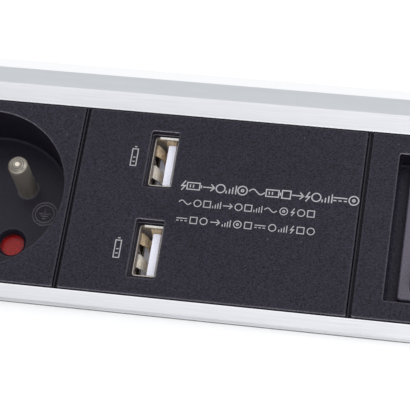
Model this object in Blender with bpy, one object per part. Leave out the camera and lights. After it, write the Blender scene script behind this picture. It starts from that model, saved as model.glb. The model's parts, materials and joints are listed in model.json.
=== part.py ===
"""Desk power strip: a wedge-shaped aluminium housing with two earthed sockets,
a twin USB charger and a rocker switch, modelled as separate pieces.

World frame: X runs along the strip, the front looks towards -Y, +Z is up and the
strip stands on Z = 0. The tilted front has its own frame: x along the strip,
y up the slope, z outward, with its origin halfway up the black module band.
"""
import math

import bmesh
import bpy
from mathutils import Matrix, Vector
from mathutils.geometry import intersect_line_line_2d

MM = 0.001

# Housing section, in mm
FACE_TILT = 61.0          # slope of the front face above the table, in degrees
TOP_TILT = 5.5            # rise of the top face towards the back, in degrees
BAND_HEIGHT = 46.95       # module band, measured up the slope
LIP_TOP = 4.86            # visible width of the upper lip
LIP_BOTTOM = 4.18         # visible width of the lower lip
TOP_DEPTH = 36.0          # length of the top face
BASE_Z = 0.3              # housing underside above the table
WALL_TOP = 1.6
WALL_BACK = 1.8
WALL_BASE = 1.5
LIP_THICK = 2.4
LEDGE = 1.2               # how far each ledge reaches under the modules
LEDGE_THICK = 1.5
BOSS = 6.4                # square screw boss in each rear corner
GROOVE_WIDTH = 5.0        # foot strip groove
GROOVE_DEPTH = 0.9
CORNER_RADIUS = 2.0
LIP_RADIUS = 0.5

# Layout along the strip, in the face frame whose x = 0 is the USB module's middle
MODULE_PITCH = 45.0
USB_LEFT = -33.35         # middle of the divider left of the USB module
USB_RIGHT = 34.1          # middle of the divider right of the USB module
DIVIDER_GAP_LEFT = 0.54   # module edge to divider middle, on the divider's left
DIVIDER_GAP_RIGHT = 0.65
DIVIDER_LEFT = 0.26
DIVIDER_RIGHT = 0.10
END_CLEARANCE = 0.4
CAP_THICK = 3.0
CAP_GAP = 0.2
CAP_EDGE = 0.35
CAP_LIP_RADIUS = 0.8

PLATE_THICK = 2.2
PLATE_CLEARANCE = 0.2
PLATE_BEVEL = 0.35
GAP = 0.3                 # clearance between pieces that touch

# Socket
RECESS_RADIUS = 20.35
RECESS_DEPTH = 14.2
CUP_WALL = 1.5
FLOOR_THICK = 1.8
INSERT_TURN = 49.0        # turn of the socket insert about its own axis, in degrees
PIN_HOLE_OFFSET = 9.5     # half of the 19 mm contact spacing
PIN_HOLE_RADIUS = 2.6
LEAD_IN_RADIUS = 3.35
LEAD_IN_DEPTH = 0.7
EARTH_OFFSET = 10.5
EARTH_RADIUS = 2.4
EARTH_LENGTH = 14.0       # earth pin above the recess floor
CARRIER_RADIUS = 18.5
CARRIER_REAR = 27.0
SHUTTER_RADIUS = 12.8
SHUTTER_HALF_ARM = 3.5
SHUTTER_HUB = 5.0
SHUTTER_THICK = 1.5
CONTACT_RADIUS = 3.0
CONTACT_BORE = 2.45

# USB charger
USB_X = -13.65
USB_Y = (11.95, -11.05)   # middle of the upper and lower shell
PORT_X = -13.8
PORT_Y = (11.42, -11.48)  # middle of the upper and lower hole in the plate
PORT_HOLE = (6.6, 14.65)
SHELL_FRONT = 2.5
SHELL_WIDTH = 5.7
SHELL_HEIGHT = 12.8
SHELL_WALL = 0.4
SHELL_DEPTH = 12.0
BOARD_FRONT = 12.4
BOARD_THICK = 1.6

# Rocker switch
SWITCH_RECESS = (31.0, 36.8)
SWITCH_LEDGE = 4.4        # bezel face below the front
BEZEL = (25.6, 32.3)
ROCKER = (19.4, 25.4)
ROCKER_TURN = -8.0        # lean of the rocker at rest, its lower end out, in degrees
PIVOT_DEPTH = 9.5
PIVOT_RADIUS = 1.2

# Mains inlet in the back wall
INLET_X = 20.0
INLET_Z = 26.0
INLET_CUTOUT = (27.4, 20.0)
INLET_FLANGE = (31.0, 23.6)
INLET_CAVITY = (24.0, 16.4)
INLET_DEPTH = 19.0
INLET_GAP = 0.2
INLET_FLANGE_THICK = 2.2

FACE_HEIGHT = BAND_HEIGHT + LIP_TOP + LIP_BOTTOM
ALPHA = math.radians(FACE_TILT)
BETA = math.radians(TOP_TILT)
SECTION_DEPTH = FACE_HEIGHT * math.cos(ALPHA) + TOP_DEPTH * math.cos(BETA)
LIP_ROUNDING = LIP_RADIUS * (1.0 / math.tan(0.5 * ALPHA) - 1.0)
MIDDLE_Y = 0.5 * (LIP_ROUNDING + SECTION_DEPTH + INLET_GAP + INLET_FLANGE_THICK)
STRIP_LEFT = USB_LEFT - 2.0 * MODULE_PITCH - END_CLEARANCE
STRIP_RIGHT = USB_RIGHT + MODULE_PITCH + END_CLEARANCE
CENTRE_X = 0.5 * (STRIP_LEFT + STRIP_RIGHT)
BAND_CENTRE = LIP_BOTTOM + 0.5 * BAND_HEIGHT


# ---------------------------------------------------------------- frames

WORLD = Matrix.Identity(4)


def profile_point(slope_y, depth):
    """Section point (y, z) of a face-frame height and a depth behind the face."""
    along = slope_y + BAND_CENTRE
    y = along * math.cos(ALPHA) + depth * math.sin(ALPHA) - MIDDLE_Y
    z = BASE_Z + along * math.sin(ALPHA) - depth * math.cos(ALPHA)
    return (y, z)


def face_frame(x=0.0, y=0.0, z=0.0, turn=0.0):
    """Frame at a point of the tilted front, turned about its outward axis."""
    origin_y, origin_z = profile_point(y, -z)
    place = Matrix.Translation(Vector((x - CENTRE_X, origin_y, origin_z)) * MM)
    tilt = Matrix.Rotation(ALPHA, 4, "X")
    return place @ tilt @ Matrix.Rotation(math.radians(turn), 4, "Z")


def world_frame(x, y, z, rotation=WORLD):
    return Matrix.Translation(Vector((x, y, z)) * MM) @ rotation


ALONG_X = Matrix.Rotation(math.radians(90.0), 4, "Y")
ALONG_Y = Matrix.Rotation(math.radians(90.0), 4, "X")


# ---------------------------------------------------------------- materials

def material(name, colour, roughness, metallic=0.0):
    mat = bpy.data.materials.new(name)
    mat.use_nodes = True
    shader = mat.node_tree.nodes["Principled BSDF"]
    shader.inputs["Base Color"].default_value = (*colour, 1.0)
    shader.inputs["Roughness"].default_value = roughness
    shader.inputs["Metallic"].default_value = metallic
    return mat


# ---------------------------------------------------------------- meshes

def finish_mesh(name, bm, frame, mat):
    """Turn a bmesh in mm into a placed, smooth-shaded object."""
    bmesh.ops.recalc_face_normals(bm, faces=bm.faces)
    bmesh.ops.scale(bm, vec=(MM, MM, MM), verts=bm.verts)
    mesh = bpy.data.meshes.new(name)
    bm.to_mesh(mesh)
    bm.free()
    mesh.shade_smooth()
    mesh.set_sharp_from_angle(angle=math.radians(35.0))
    if mat is not None:
        mesh.materials.append(mat)
    obj = bpy.data.objects.new(name, mesh)
    obj.matrix_world = frame
    bpy.context.scene.collection.objects.link(obj)
    return obj


def prism_mesh(points, low, high, axis="Z"):
    """Extrude a closed outline from low to high along one axis.

    The outline is (x, y) for axis Z and (y, z) for axis X.
    """
    bm = bmesh.new()
    if axis == "X":
        base = [bm.verts.new((low, p[0], p[1])) for p in points]
        shift = Vector((high - low, 0.0, 0.0))
    else:
        base = [bm.verts.new((p[0], p[1], low)) for p in points]
        shift = Vector((0.0, 0.0, high - low))
    face = bm.faces.new(base)
    grown = bmesh.ops.extrude_face_region(bm, geom=[face], use_keep_orig=True)
    top = [item for item in grown["geom"] if isinstance(item, bmesh.types.BMVert)]
    bmesh.ops.translate(bm, verts=top, vec=shift)
    return bm


def prism(name, points, low, high, frame=WORLD, mat=None, axis="Z"):
    return finish_mesh(name, prism_mesh(points, low, high, axis), frame, mat)


def box(name, x, y, z, frame=WORLD, mat=None):
    """Box from three (low, high) pairs."""
    outline = [(x[0], y[0]), (x[1], y[0]), (x[1], y[1]), (x[0], y[1])]
    return prism(name, outline, z[0], z[1], frame, mat)


def circle(radius, segments, cx=0.0, cy=0.0):
    step = 2.0 * math.pi / segments
    return [
        (cx + radius * math.cos(i * step), cy + radius * math.sin(i * step))
        for i in range(segments)
    ]


def rounded_outline(corners, segments=4):
    """Closed outline whose corners (x, y, radius) are rounded where radius > 0."""
    outline = []
    count = len(corners)
    for i, (x, y, radius) in enumerate(corners):
        here = Vector((x, y))
        if radius <= 0.0:
            outline.append((x, y))
            continue
        before = (Vector(corners[i - 1][:2]) - here).normalized()
        after = (Vector(corners[(i + 1) % count][:2]) - here).normalized()
        half = 0.5 * before.angle(after)
        centre = here + (before + after).normalized() * (radius / math.sin(half))
        start = here + before * (radius / math.tan(half)) - centre
        end = here + after * (radius / math.tan(half)) - centre
        turn = start.angle_signed(end)
        for k in range(segments + 1):
            spoke = start.copy()
            spoke.rotate(Matrix.Rotation(-turn * k / segments, 2))
            outline.append(tuple(centre + spoke))
    return outline


def rounded_rectangle(width, height, radius, segments=4, cx=0.0, cy=0.0):
    w, h = 0.5 * width, 0.5 * height
    signs = ((-1, -1), (1, -1), (1, 1), (-1, 1))
    return rounded_outline([(cx + a * w, cy + b * h, radius) for a, b in signs], segments)


def cylinder(name, radius, z, frame=WORLD, mat=None, segments=24, cx=0.0, cy=0.0):
    return prism(name, circle(radius, segments, cx, cy), z[0], z[1], frame, mat)


def lathe_mesh(profile, segments, cx=0.0, cy=0.0):
    """Turn (radius, z) points about Z; points on the axis become poles."""
    bm = bmesh.new()
    rings = []
    for radius, z in profile:
        if radius < 1e-6:
            rings.append([bm.verts.new((cx, cy, z))])
        else:
            rings.append([bm.verts.new((x, y, z)) for x, y in circle(radius, segments, cx, cy)])
    for low, high in zip(rings, rings[1:]):
        for i in range(segments):
            j = (i + 1) % segments
            corners = [low[i % len(low)], low[j % len(low)], high[j % len(high)], high[i % len(high)]]
            unique = list(dict.fromkeys(corners))
            if len(unique) > 2:
                bm.faces.new(unique)
    if len(rings[0]) > 1 and len(rings[-1]) > 1 and profile[0] == profile[-1]:
        bmesh.ops.remove_doubles(bm, verts=bm.verts, dist=1e-5)
    return bm


def lathe(name, profile, frame, mat, segments=24, cx=0.0, cy=0.0):
    return finish_mesh(name, lathe_mesh(profile, segments, cx, cy), frame, mat)


def coil(name, radius, wire, pitch, turns, start_z, frame, mat, steps=14, sides=6):
    """Coil of round wire about Z, with flat capped ends."""
    bm = bmesh.new()
    rings = []
    total = int(turns * steps)
    slope = math.atan2(pitch, 2.0 * math.pi * radius)
    for i in range(total + 1):
        angle = 2.0 * math.pi * i / steps
        out = Vector((math.cos(angle), math.sin(angle), 0.0))
        tangent = Vector((-math.sin(angle), math.cos(angle), math.tan(slope))).normalized()
        up = tangent.cross(out)
        centre = out * radius + Vector((0.0, 0.0, start_z + pitch * i / steps))
        ring = []
        for k in range(sides):
            a = 2.0 * math.pi * k / sides
            ring.append(bm.verts.new(centre + (out * math.cos(a) + up * math.sin(a)) * wire))
        rings.append(ring)
    for first, second in zip(rings, rings[1:]):
        for k in range(sides):
            m = (k + 1) % sides
            bm.faces.new((first[k], first[m], second[m], second[k]))
    bm.faces.new(rings[0])
    bm.faces.new(rings[-1])
    return finish_mesh(name, bm, frame, mat)


def clip_above(bm, frame, height):
    """Cut a convex bmesh in mm, placed by frame, off below a world height."""
    inverse = frame.inverted()
    point = inverse @ Vector((0.0, 0.0, height * MM))
    normal = (inverse.to_3x3() @ Vector((0.0, 0.0, 1.0))).normalized()
    geometry = list(bm.verts) + list(bm.edges) + list(bm.faces)
    result = bmesh.ops.bisect_plane(
        bm, geom=geometry, plane_co=point / MM, plane_no=normal, clear_inner=True
    )
    edges = [item for item in result["geom_cut"] if isinstance(item, bmesh.types.BMEdge)]
    bmesh.ops.contextual_create(bm, geom=edges)
    return bm


# ---------------------------------------------------------------- modifiers

def hide_tool(tool):
    tool.hide_render = True
    tool.display_type = "WIRE"


def boolean(target, tool, operation):
    step = target.modifiers.new(operation.lower(), "BOOLEAN")
    step.operation = operation
    step.solver = "EXACT"
    step.object = tool
    hide_tool(tool)
    return target


def cut(target, *tools):
    for tool in tools:
        boolean(target, tool, "DIFFERENCE")
    return target


def fuse(target, *tools):
    for tool in tools:
        boolean(target, tool, "UNION")
    return target


def bevel(target, width, segments=1):
    step = target.modifiers.new("edge", "BEVEL")
    step.width = width * MM
    step.segments = segments
    step.limit_method = "ANGLE"
    step.angle_limit = math.radians(40.0)
    return target


# ---------------------------------------------------------------- housing

def line_point(start, direction, other, other_direction):
    """Meeting point of two section lines, each given by a point and a direction."""
    reach = 500.0
    a, b = Vector(start), Vector(other)
    return tuple(intersect_line_line_2d(
        a - Vector(direction) * reach, a + Vector(direction) * reach,
        b - Vector(other_direction) * reach, b + Vector(other_direction) * reach,
    ))


def outer_corners():
    """Corners (y, z) of the closed wedge: lower lip, upper lip, top back, base back."""
    low = profile_point(-BAND_CENTRE, 0.0)
    high = profile_point(0.5 * BAND_HEIGHT + LIP_TOP, 0.0)
    back_y = high[0] + TOP_DEPTH * math.cos(BETA)
    top_back = (back_y, high[1] + TOP_DEPTH * math.sin(BETA))
    return low, high, top_back, (back_y, BASE_Z)


def foot_grooves():
    """Low and high y of the two foot strip grooves."""
    low, _, _, base_back = outer_corners()
    front = (low[0] + 2.4, low[0] + 2.4 + GROOVE_WIDTH)
    rear = (base_back[0] - 10.0 - GROOVE_WIDTH, base_back[0] - 10.0)
    return front, rear


def housing_outline():
    """Section of the extrusion: a hollow wedge open at the module band."""
    low, high, top_back, base_back = outer_corners()
    half = 0.5 * BAND_HEIGHT
    inner = half - LEDGE
    slope = (math.cos(ALPHA), math.sin(ALPHA))
    inward = (math.sin(ALPHA), -math.cos(ALPHA))
    top_line = (math.cos(BETA), math.sin(BETA))
    base_inner = BASE_Z + WALL_BASE
    back_inner = base_back[0] - WALL_BACK
    top_start = (high[0] + WALL_TOP * math.sin(BETA), high[1] - WALL_TOP * math.cos(BETA))
    deep = LIP_THICK + LEDGE_THICK
    ledge_low = profile_point(-inner, deep)
    ledge_high = profile_point(half, deep)
    low_meets_base = line_point(ledge_low, inward, (0.0, base_inner), (1.0, 0.0))
    high_meets_top = line_point(ledge_high, slope, top_start, top_line)
    top_meets_back = line_point(top_start, top_line, (back_inner, 0.0), (0.0, 1.0))
    boss_top = line_point(
        top_start, top_line, (back_inner - BOSS + WALL_BACK, 0.0), (0.0, 1.0)
    )
    boss_drop = BOSS - WALL_TOP
    front_groove, rear_groove = foot_grooves()
    groove_z = BASE_Z + GROOVE_DEPTH
    corners = [
        (*profile_point(-half, 0.0), 0.0),
        (*low, LIP_RADIUS),
        (front_groove[0], BASE_Z, 0.0),
        (front_groove[0], groove_z, 0.0),
        (front_groove[1], groove_z, 0.0),
        (front_groove[1], BASE_Z, 0.0),
        (rear_groove[0], BASE_Z, 0.0),
        (rear_groove[0], groove_z, 0.0),
        (rear_groove[1], groove_z, 0.0),
        (rear_groove[1], BASE_Z, 0.0),
        (*base_back, CORNER_RADIUS),
        (*top_back, CORNER_RADIUS),
        (*high, LIP_RADIUS),
        (*profile_point(half, 0.0), 0.0),
        (*profile_point(half, LIP_THICK), 0.0),
        (*profile_point(inner, LIP_THICK), 0.0),
        (*profile_point(inner, deep), 0.0),
        (*ledge_high, 0.0),
        (*high_meets_top, 0.0),
        (*boss_top, 0.0),
        (boss_top[0], boss_top[1] - boss_drop, 0.0),
        (back_inner, boss_top[1] - boss_drop, 0.0),
        (back_inner, base_inner + BOSS - WALL_BASE, 0.0),
        (back_inner - BOSS + WALL_BACK, base_inner + BOSS - WALL_BASE, 0.0),
        (back_inner - BOSS + WALL_BACK, base_inner, 0.0),
        (*low_meets_base, 0.0),
        (*ledge_low, 0.0),
        (*profile_point(-inner, LIP_THICK), 0.0),
        (*profile_point(-half, LIP_THICK), 0.0),
    ]
    return rounded_outline(corners)


def screw_centres():
    """Section points (y, z) of the two end-cap screws."""
    _, _, top_back, base_back = outer_corners()
    inset = 0.5 * BOSS + 0.4
    return (
        (base_back[0] - inset, base_back[1] + inset),
        (top_back[0] - inset, top_back[1] - inset - 0.6),
    )


def socket_centres():
    return [USB_LEFT - (i + 0.5) * MODULE_PITCH for i in (1, 0)]


def build_housing(aluminium, grey, steel, rubber):
    left = STRIP_LEFT - CENTRE_X
    right = STRIP_RIGHT - CENTRE_X
    housing = prism("housing_profile", housing_outline(), left, right, WORLD, aluminium, "X")
    for side, end in (("left", left), ("right", right)):
        for level, (y, z) in zip(("lower", "upper"), screw_centres()):
            bore = cylinder(
                f"bore_{side}_{level}", 1.45, (-12.0, 12.0),
                world_frame(end, y, z, ALONG_X), segments=16,
            )
            cut(housing, bore)
    front = outer_corners()[0][0]
    for i, centre in enumerate(socket_centres(), 1):
        x = centre - CENTRE_X
        window = box(
            f"window_{i}", (x - 14.8, x + 14.8), (front + 8.2, front + 20.6), (-3.0, 4.0)
        )
        cut(housing, window)
    x = INLET_X - CENTRE_X
    back = outer_corners()[3][0]
    half_w, half_h = 0.5 * INLET_CUTOUT[0], 0.5 * INLET_CUTOUT[1]
    opening = box(
        "inlet_opening", (x - half_w, x + half_w), (back - 4.0, back + 4.0),
        (INLET_Z - half_h, INLET_Z + half_h),
    )
    cut(housing, opening)

    low, high, top_back, base_back = outer_corners()
    cap_outline = rounded_outline([
        (*low, CAP_LIP_RADIUS), (*base_back, CORNER_RADIUS),
        (*top_back, CORNER_RADIUS), (*high, CAP_LIP_RADIUS),
    ])
    for side, end, sign in (("left", left, -1.0), ("right", right, 1.0)):
        inner = end + sign * CAP_GAP
        outer = inner + sign * CAP_THICK
        cap = prism(
            f"end_cap_{side}", cap_outline, min(inner, outer), max(inner, outer),
            WORLD, grey, "X",
        )
        bevel(cap, CAP_EDGE)
        outward = ALONG_X if sign > 0 else ALONG_X @ Matrix.Rotation(math.pi, 4, "Y")
        for level, (y, z) in zip(("lower", "upper"), screw_centres()):
            frame = world_frame(outer, y, z, outward)
            hole = lathe(
                f"screw_hole_{side}_{level}",
                [(0.0, -6.0), (1.75, -6.0), (1.75, -1.5), (3.1, -1.5), (3.1, 3.0), (0.0, 3.0)],
                frame, None, 24,
            )
            cut(cap, hole)
            screw = lathe(
                f"end_screw_{side}_{level}",
                [(0.0, -11.0), (1.0, -11.0), (1.3, -10.5), (1.3, -1.2), (2.8, -1.2),
                 (2.8, -0.5), (2.3, 0.1), (1.2, 0.3), (0.0, 0.3)],
                frame, steel, 24,
            )
            for k in range(2):
                turned = frame @ Matrix.Rotation(math.radians(45.0 + 90.0 * k), 4, "Z")
                slot = box(
                    f"cross_{side}_{level}_{k}", (-1.5, 1.5), (-0.28, 0.28), (-0.7, 2.0), turned
                )
                cut(screw, slot)

    for name, (y0, y1) in zip(("foot_strip_front", "foot_strip_rear"), foot_grooves()):
        strip = box(
            name, (left + 4.0, right - 4.0), (y0 + 0.2, y1 - 0.2),
            (0.0, BASE_Z + GROOVE_DEPTH - 0.05), WORLD, rubber,
        )
        bevel(strip, 0.25)


# ---------------------------------------------------------------- module plates

def module_spans():
    """Low and high face-frame x of each module plate, from left to right."""
    first = USB_LEFT - 2.0 * MODULE_PITCH
    marks = [USB_LEFT - MODULE_PITCH, USB_LEFT, USB_RIGHT]
    lows = [first + 0.1] + [m + DIVIDER_GAP_RIGHT for m in marks]
    highs = [m - DIVIDER_GAP_LEFT for m in marks] + [USB_RIGHT + MODULE_PITCH - 0.1]
    return list(zip(lows, highs))


def plate(name, span, mat):
    """Module plate lying flush with the lips."""
    half = 0.5 * BAND_HEIGHT - PLATE_CLEARANCE
    body = box(name, span, (-half, half), (-PLATE_THICK, 0.0), face_frame(), mat)
    return bevel(body, PLATE_BEVEL)


def build_dividers(light):
    half = 0.5 * BAND_HEIGHT - PLATE_CLEARANCE
    marks = [USB_LEFT - MODULE_PITCH, USB_LEFT, USB_RIGHT]
    for i, x in enumerate(marks, 1):
        box(
            f"module_divider_{i}", (x - DIVIDER_LEFT, x + DIVIDER_RIGHT), (-half, half),
            (-PLATE_THICK, -0.08), face_frame(), light,
        )


# ---------------------------------------------------------------- sockets

def build_socket(number, centre, span, black, red, steel, brass, spring_steel):
    """One earthed socket with its turning shutter, contacts and rear carrier."""
    flat = face_frame(centre)
    turned = face_frame(centre, turn=-INSERT_TURN)
    floor_back = RECESS_DEPTH + FLOOR_THICK

    face = plate(f"socket_face_{number}", span, black)
    cup_mesh = prism_mesh(circle(RECESS_RADIUS + CUP_WALL, 56), -floor_back, -1.0)
    fuse(face, finish_mesh(f"cup_{number}", clip_above(cup_mesh, flat, BASE_Z), flat, black))
    recess_mesh = prism_mesh(circle(RECESS_RADIUS, 56), -RECESS_DEPTH, 3.0)
    recess = finish_mesh(
        f"recess_{number}", clip_above(recess_mesh, flat, BASE_Z + 1.1), flat, None
    )
    cut(face, recess)
    for name, sign in (("a", 1.0), ("b", -1.0)):
        lead = -RECESS_DEPTH - LEAD_IN_DEPTH
        hole = lathe(
            f"pin_hole_{number}{name}",
            [(0.0, -floor_back - 2.0), (PIN_HOLE_RADIUS, -floor_back - 2.0),
             (PIN_HOLE_RADIUS, lead), (LEAD_IN_RADIUS, -RECESS_DEPTH),
             (LEAD_IN_RADIUS, -RECESS_DEPTH + 2.0), (0.0, -RECESS_DEPTH + 2.0)],
            turned, None, 24, sign * PIN_HOLE_OFFSET, 0.0,
        )
        cut(face, hole)
    earth_hole = cylinder(
        f"earth_hole_{number}", EARTH_RADIUS + 0.15, (-floor_back - 2.0, -RECESS_DEPTH + 2.0),
        turned, segments=24, cy=EARTH_OFFSET,
    )
    cut(face, earth_hole)

    front = -floor_back - GAP
    pocket_back = front - SHUTTER_THICK - 0.6
    carrier_mesh = prism_mesh(circle(CARRIER_RADIUS, 40), -CARRIER_REAR, front)
    carrier = finish_mesh(
        f"socket_carrier_{number}",
        clip_above(carrier_mesh, flat, BASE_Z + WALL_BASE + 0.6), flat, black,
    )
    pocket = cylinder(
        f"pocket_{number}", SHUTTER_RADIUS + 0.5, (pocket_back, 0.0), turned, segments=40
    )
    post = cylinder(f"post_{number}", 2.0, (-CARRIER_REAR + 1.0, front - 0.1), turned,
                    segments=20)
    coil_bay = lathe(
        f"coil_bay_{number}",
        [(2.0, pocket_back - 2.6), (4.6, pocket_back - 2.6), (4.6, pocket_back + 1.0),
         (2.0, pocket_back + 1.0), (2.0, pocket_back - 2.6)],
        turned, None, 28,
    )
    cut(carrier, pocket)
    fuse(carrier, post)
    cut(carrier, coil_bay)
    for name, sign in (("a", 1.0), ("b", -1.0)):
        bore = cylinder(
            f"contact_bore_{number}{name}", CONTACT_RADIUS + GAP, (-CARRIER_REAR - 2.0, 0.0),
            turned, segments=24, cx=sign * PIN_HOLE_OFFSET,
        )
        cut(carrier, bore)
    earth_bore = cylinder(
        f"earth_bore_{number}", EARTH_RADIUS + 0.15, (-CARRIER_REAR - 2.0, 0.0), turned,
        segments=24, cy=EARTH_OFFSET,
    )
    cut(carrier, earth_bore)

    shutter_front = front - 0.3
    shutter_back = shutter_front - SHUTTER_THICK
    arm = box(
        f"shutter_{number}", (-SHUTTER_RADIUS, SHUTTER_RADIUS),
        (-SHUTTER_HALF_ARM, SHUTTER_HALF_ARM), (shutter_back, shutter_front), turned, red,
    )
    rim = cylinder(
        f"shutter_rim_{number}", SHUTTER_RADIUS, (shutter_back - 1.0, shutter_front + 1.0),
        turned, segments=40,
    )
    boolean(arm, rim, "INTERSECT")
    hub = cylinder(
        f"shutter_hub_{number}", SHUTTER_HUB, (shutter_back, shutter_front), turned, segments=28
    )
    bore = cylinder(f"shutter_bore_{number}", 2.25, (shutter_back - 2.0, shutter_front + 2.0),
                    turned, segments=20)
    fuse(arm, hub)
    cut(arm, bore)

    wire = 0.25
    coil(f"shutter_spring_{number}", 3.3, wire, 0.62, 3.0, pocket_back - 2.3, turned,
         spring_steel)

    tip = -RECESS_DEPTH + EARTH_LENGTH
    lathe(
        f"earth_pin_{number}",
        [(0.0, -CARRIER_REAR - 1.2), (EARTH_RADIUS, -CARRIER_REAR - 1.2),
         (EARTH_RADIUS, tip - 1.5), (EARTH_RADIUS - 0.25, tip - 0.7),
         (EARTH_RADIUS - 0.8, tip - 0.15), (EARTH_RADIUS - 1.5, tip), (0.0, tip)],
        turned, steel, 24, 0.0, EARTH_OFFSET,
    )
    sleeve_front = pocket_back - 0.5
    sleeve_back = -CARRIER_REAR - 0.4
    for name, sign in (("live", -1.0), ("neutral", 1.0)):
        lathe(
            f"contact_{name}_{number}",
            [(0.0, sleeve_back), (CONTACT_RADIUS, sleeve_back), (CONTACT_RADIUS, sleeve_front),
             (CONTACT_BORE, sleeve_front), (CONTACT_BORE, sleeve_back + 1.0),
             (0.0, sleeve_back + 1.0)],
            turned, brass, 24, sign * PIN_HOLE_OFFSET, 0.0,
        )


def build_busbars(copper):
    """Three flat bars along the backs of the sockets."""
    frame = face_frame()
    x = (socket_centres()[0] - 17.0, 4.0)
    rows = (("busbar_live", 9.6, 13.4, 28.2), ("busbar_neutral", -7.4, -3.4, 28.2),
            ("busbar_earth", 1.0, 5.0, 29.3))
    for name, low, high, depth in rows:
        bar = box(name, x, (low, high), (-depth, 0.8 - depth), frame, copper)
        if name == "busbar_live":
            continue
        bevel(bar, 0.15)


# ---------------------------------------------------------------- USB charger

def build_usb(span, black, steel, white, board_green, ferrite, sleeve):
    frame = face_frame()
    face = plate("usb_face", span, black)
    posts = [(x, y) for x in (-28.0, 29.0) for y in (-13.5, 16.5)]
    for i, (x, y) in enumerate(posts, 1):
        fuse(face, cylinder(f"usb_post_{i}", 2.2, (-BOARD_FRONT + GAP, -1.0), frame,
                            segments=20, cx=x, cy=y))
    inner_w = 0.5 * SHELL_WIDTH - SHELL_WALL
    inner_h = 0.5 * SHELL_HEIGHT - SHELL_WALL
    half_w, half_h = 0.5 * PORT_HOLE[0], 0.5 * PORT_HOLE[1]
    for name, y, hole_y in zip(("upper", "lower"), USB_Y, PORT_Y):
        port = box(f"port_{name}", (PORT_X - half_w, PORT_X + half_w),
                   (hole_y - half_h, hole_y + half_h), (-6.0, 2.0), frame)
        cut(face, port)
        shell = box(
            f"usb_shell_{name}", (USB_X - 0.5 * SHELL_WIDTH, USB_X + 0.5 * SHELL_WIDTH),
            (y - 0.5 * SHELL_HEIGHT, y + 0.5 * SHELL_HEIGHT), (-SHELL_DEPTH, -SHELL_FRONT), frame, steel,
        )
        bevel(shell, 0.3)
        mouth = box(f"mouth_{name}", (USB_X - inner_w, USB_X + inner_w),
                    (y - inner_h, y + inner_h), (-SHELL_DEPTH + 0.5, 2.0), frame)
        cut(shell, mouth)
        right = USB_X + inner_w - 0.15
        tongue = box(f"usb_tongue_{name}", (right - 1.85, right), (y - 5.85, y + 4.75),
                     (-SHELL_DEPTH + 0.7, -SHELL_FRONT - 1.0), frame, white)
        bevel(tongue, 0.2)
        base = box(f"tongue_base_{name}", (USB_X - inner_w + 0.15, right), (y - 5.8, y + 5.8),
                   (-SHELL_DEPTH + 0.7, -SHELL_DEPTH + 2.4), frame)
        fuse(tongue, base)

    board = box("usb_board", (-31.0, 32.0), (-15.6, 19.0),
                (-BOARD_FRONT - BOARD_THICK, -BOARD_FRONT), frame, board_green)
    back = -BOARD_FRONT - BOARD_THICK - 0.15
    core = box("usb_transformer", (-27.0, -13.0), (-6.0, 9.0), (back - 10.5, back), frame,
               ferrite)
    bevel(core, 0.5)
    winding = box("winding", (-28.2, -11.8), (-3.0, 6.0), (back - 9.0, back - 1.5), frame)
    fuse(core, winding)
    lathe(
        "usb_capacitor",
        [(0.0, back - 11.0), (3.6, back - 11.0), (4.0, back - 10.5), (4.0, back - 1.6),
         (3.7, back - 1.1), (4.0, back - 0.6), (4.0, back), (0.0, back)],
        frame, sleeve, 24, -4.5, 3.0,
    )
    inductor = lathe_mesh(
        [(2.2, back - 4.0), (4.6, back - 4.0), (5.0, back - 3.6), (5.0, back - 0.4),
         (4.6, back), (2.2, back), (2.2, back - 4.0)],
        28, 7.5, 12.5,
    )
    finish_mesh("usb_inductor", inductor, frame, ferrite)
    return board


# ---------------------------------------------------------------- rocker switch

def rocker_outline():
    """Side outline (y, z about the pivot) of the rocker: dished front, round belly."""
    half = 0.5 * ROCKER[1]
    front = PIVOT_DEPTH - SWITCH_LEDGE
    points = [(-half, front + 1.2), (-0.55 * half, front + 0.35), (0.0, front + 0.1),
              (0.55 * half, front + 0.35), (half, front + 1.2), (half - 0.2, 0.5)]
    for i in range(1, 8):
        angle = math.pi * i / 8.0
        points.append(((half - 0.6) * math.cos(angle), 0.2 - 4.4 * math.sin(angle)))
    points.append((-half + 0.2, 0.5))
    return points


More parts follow.
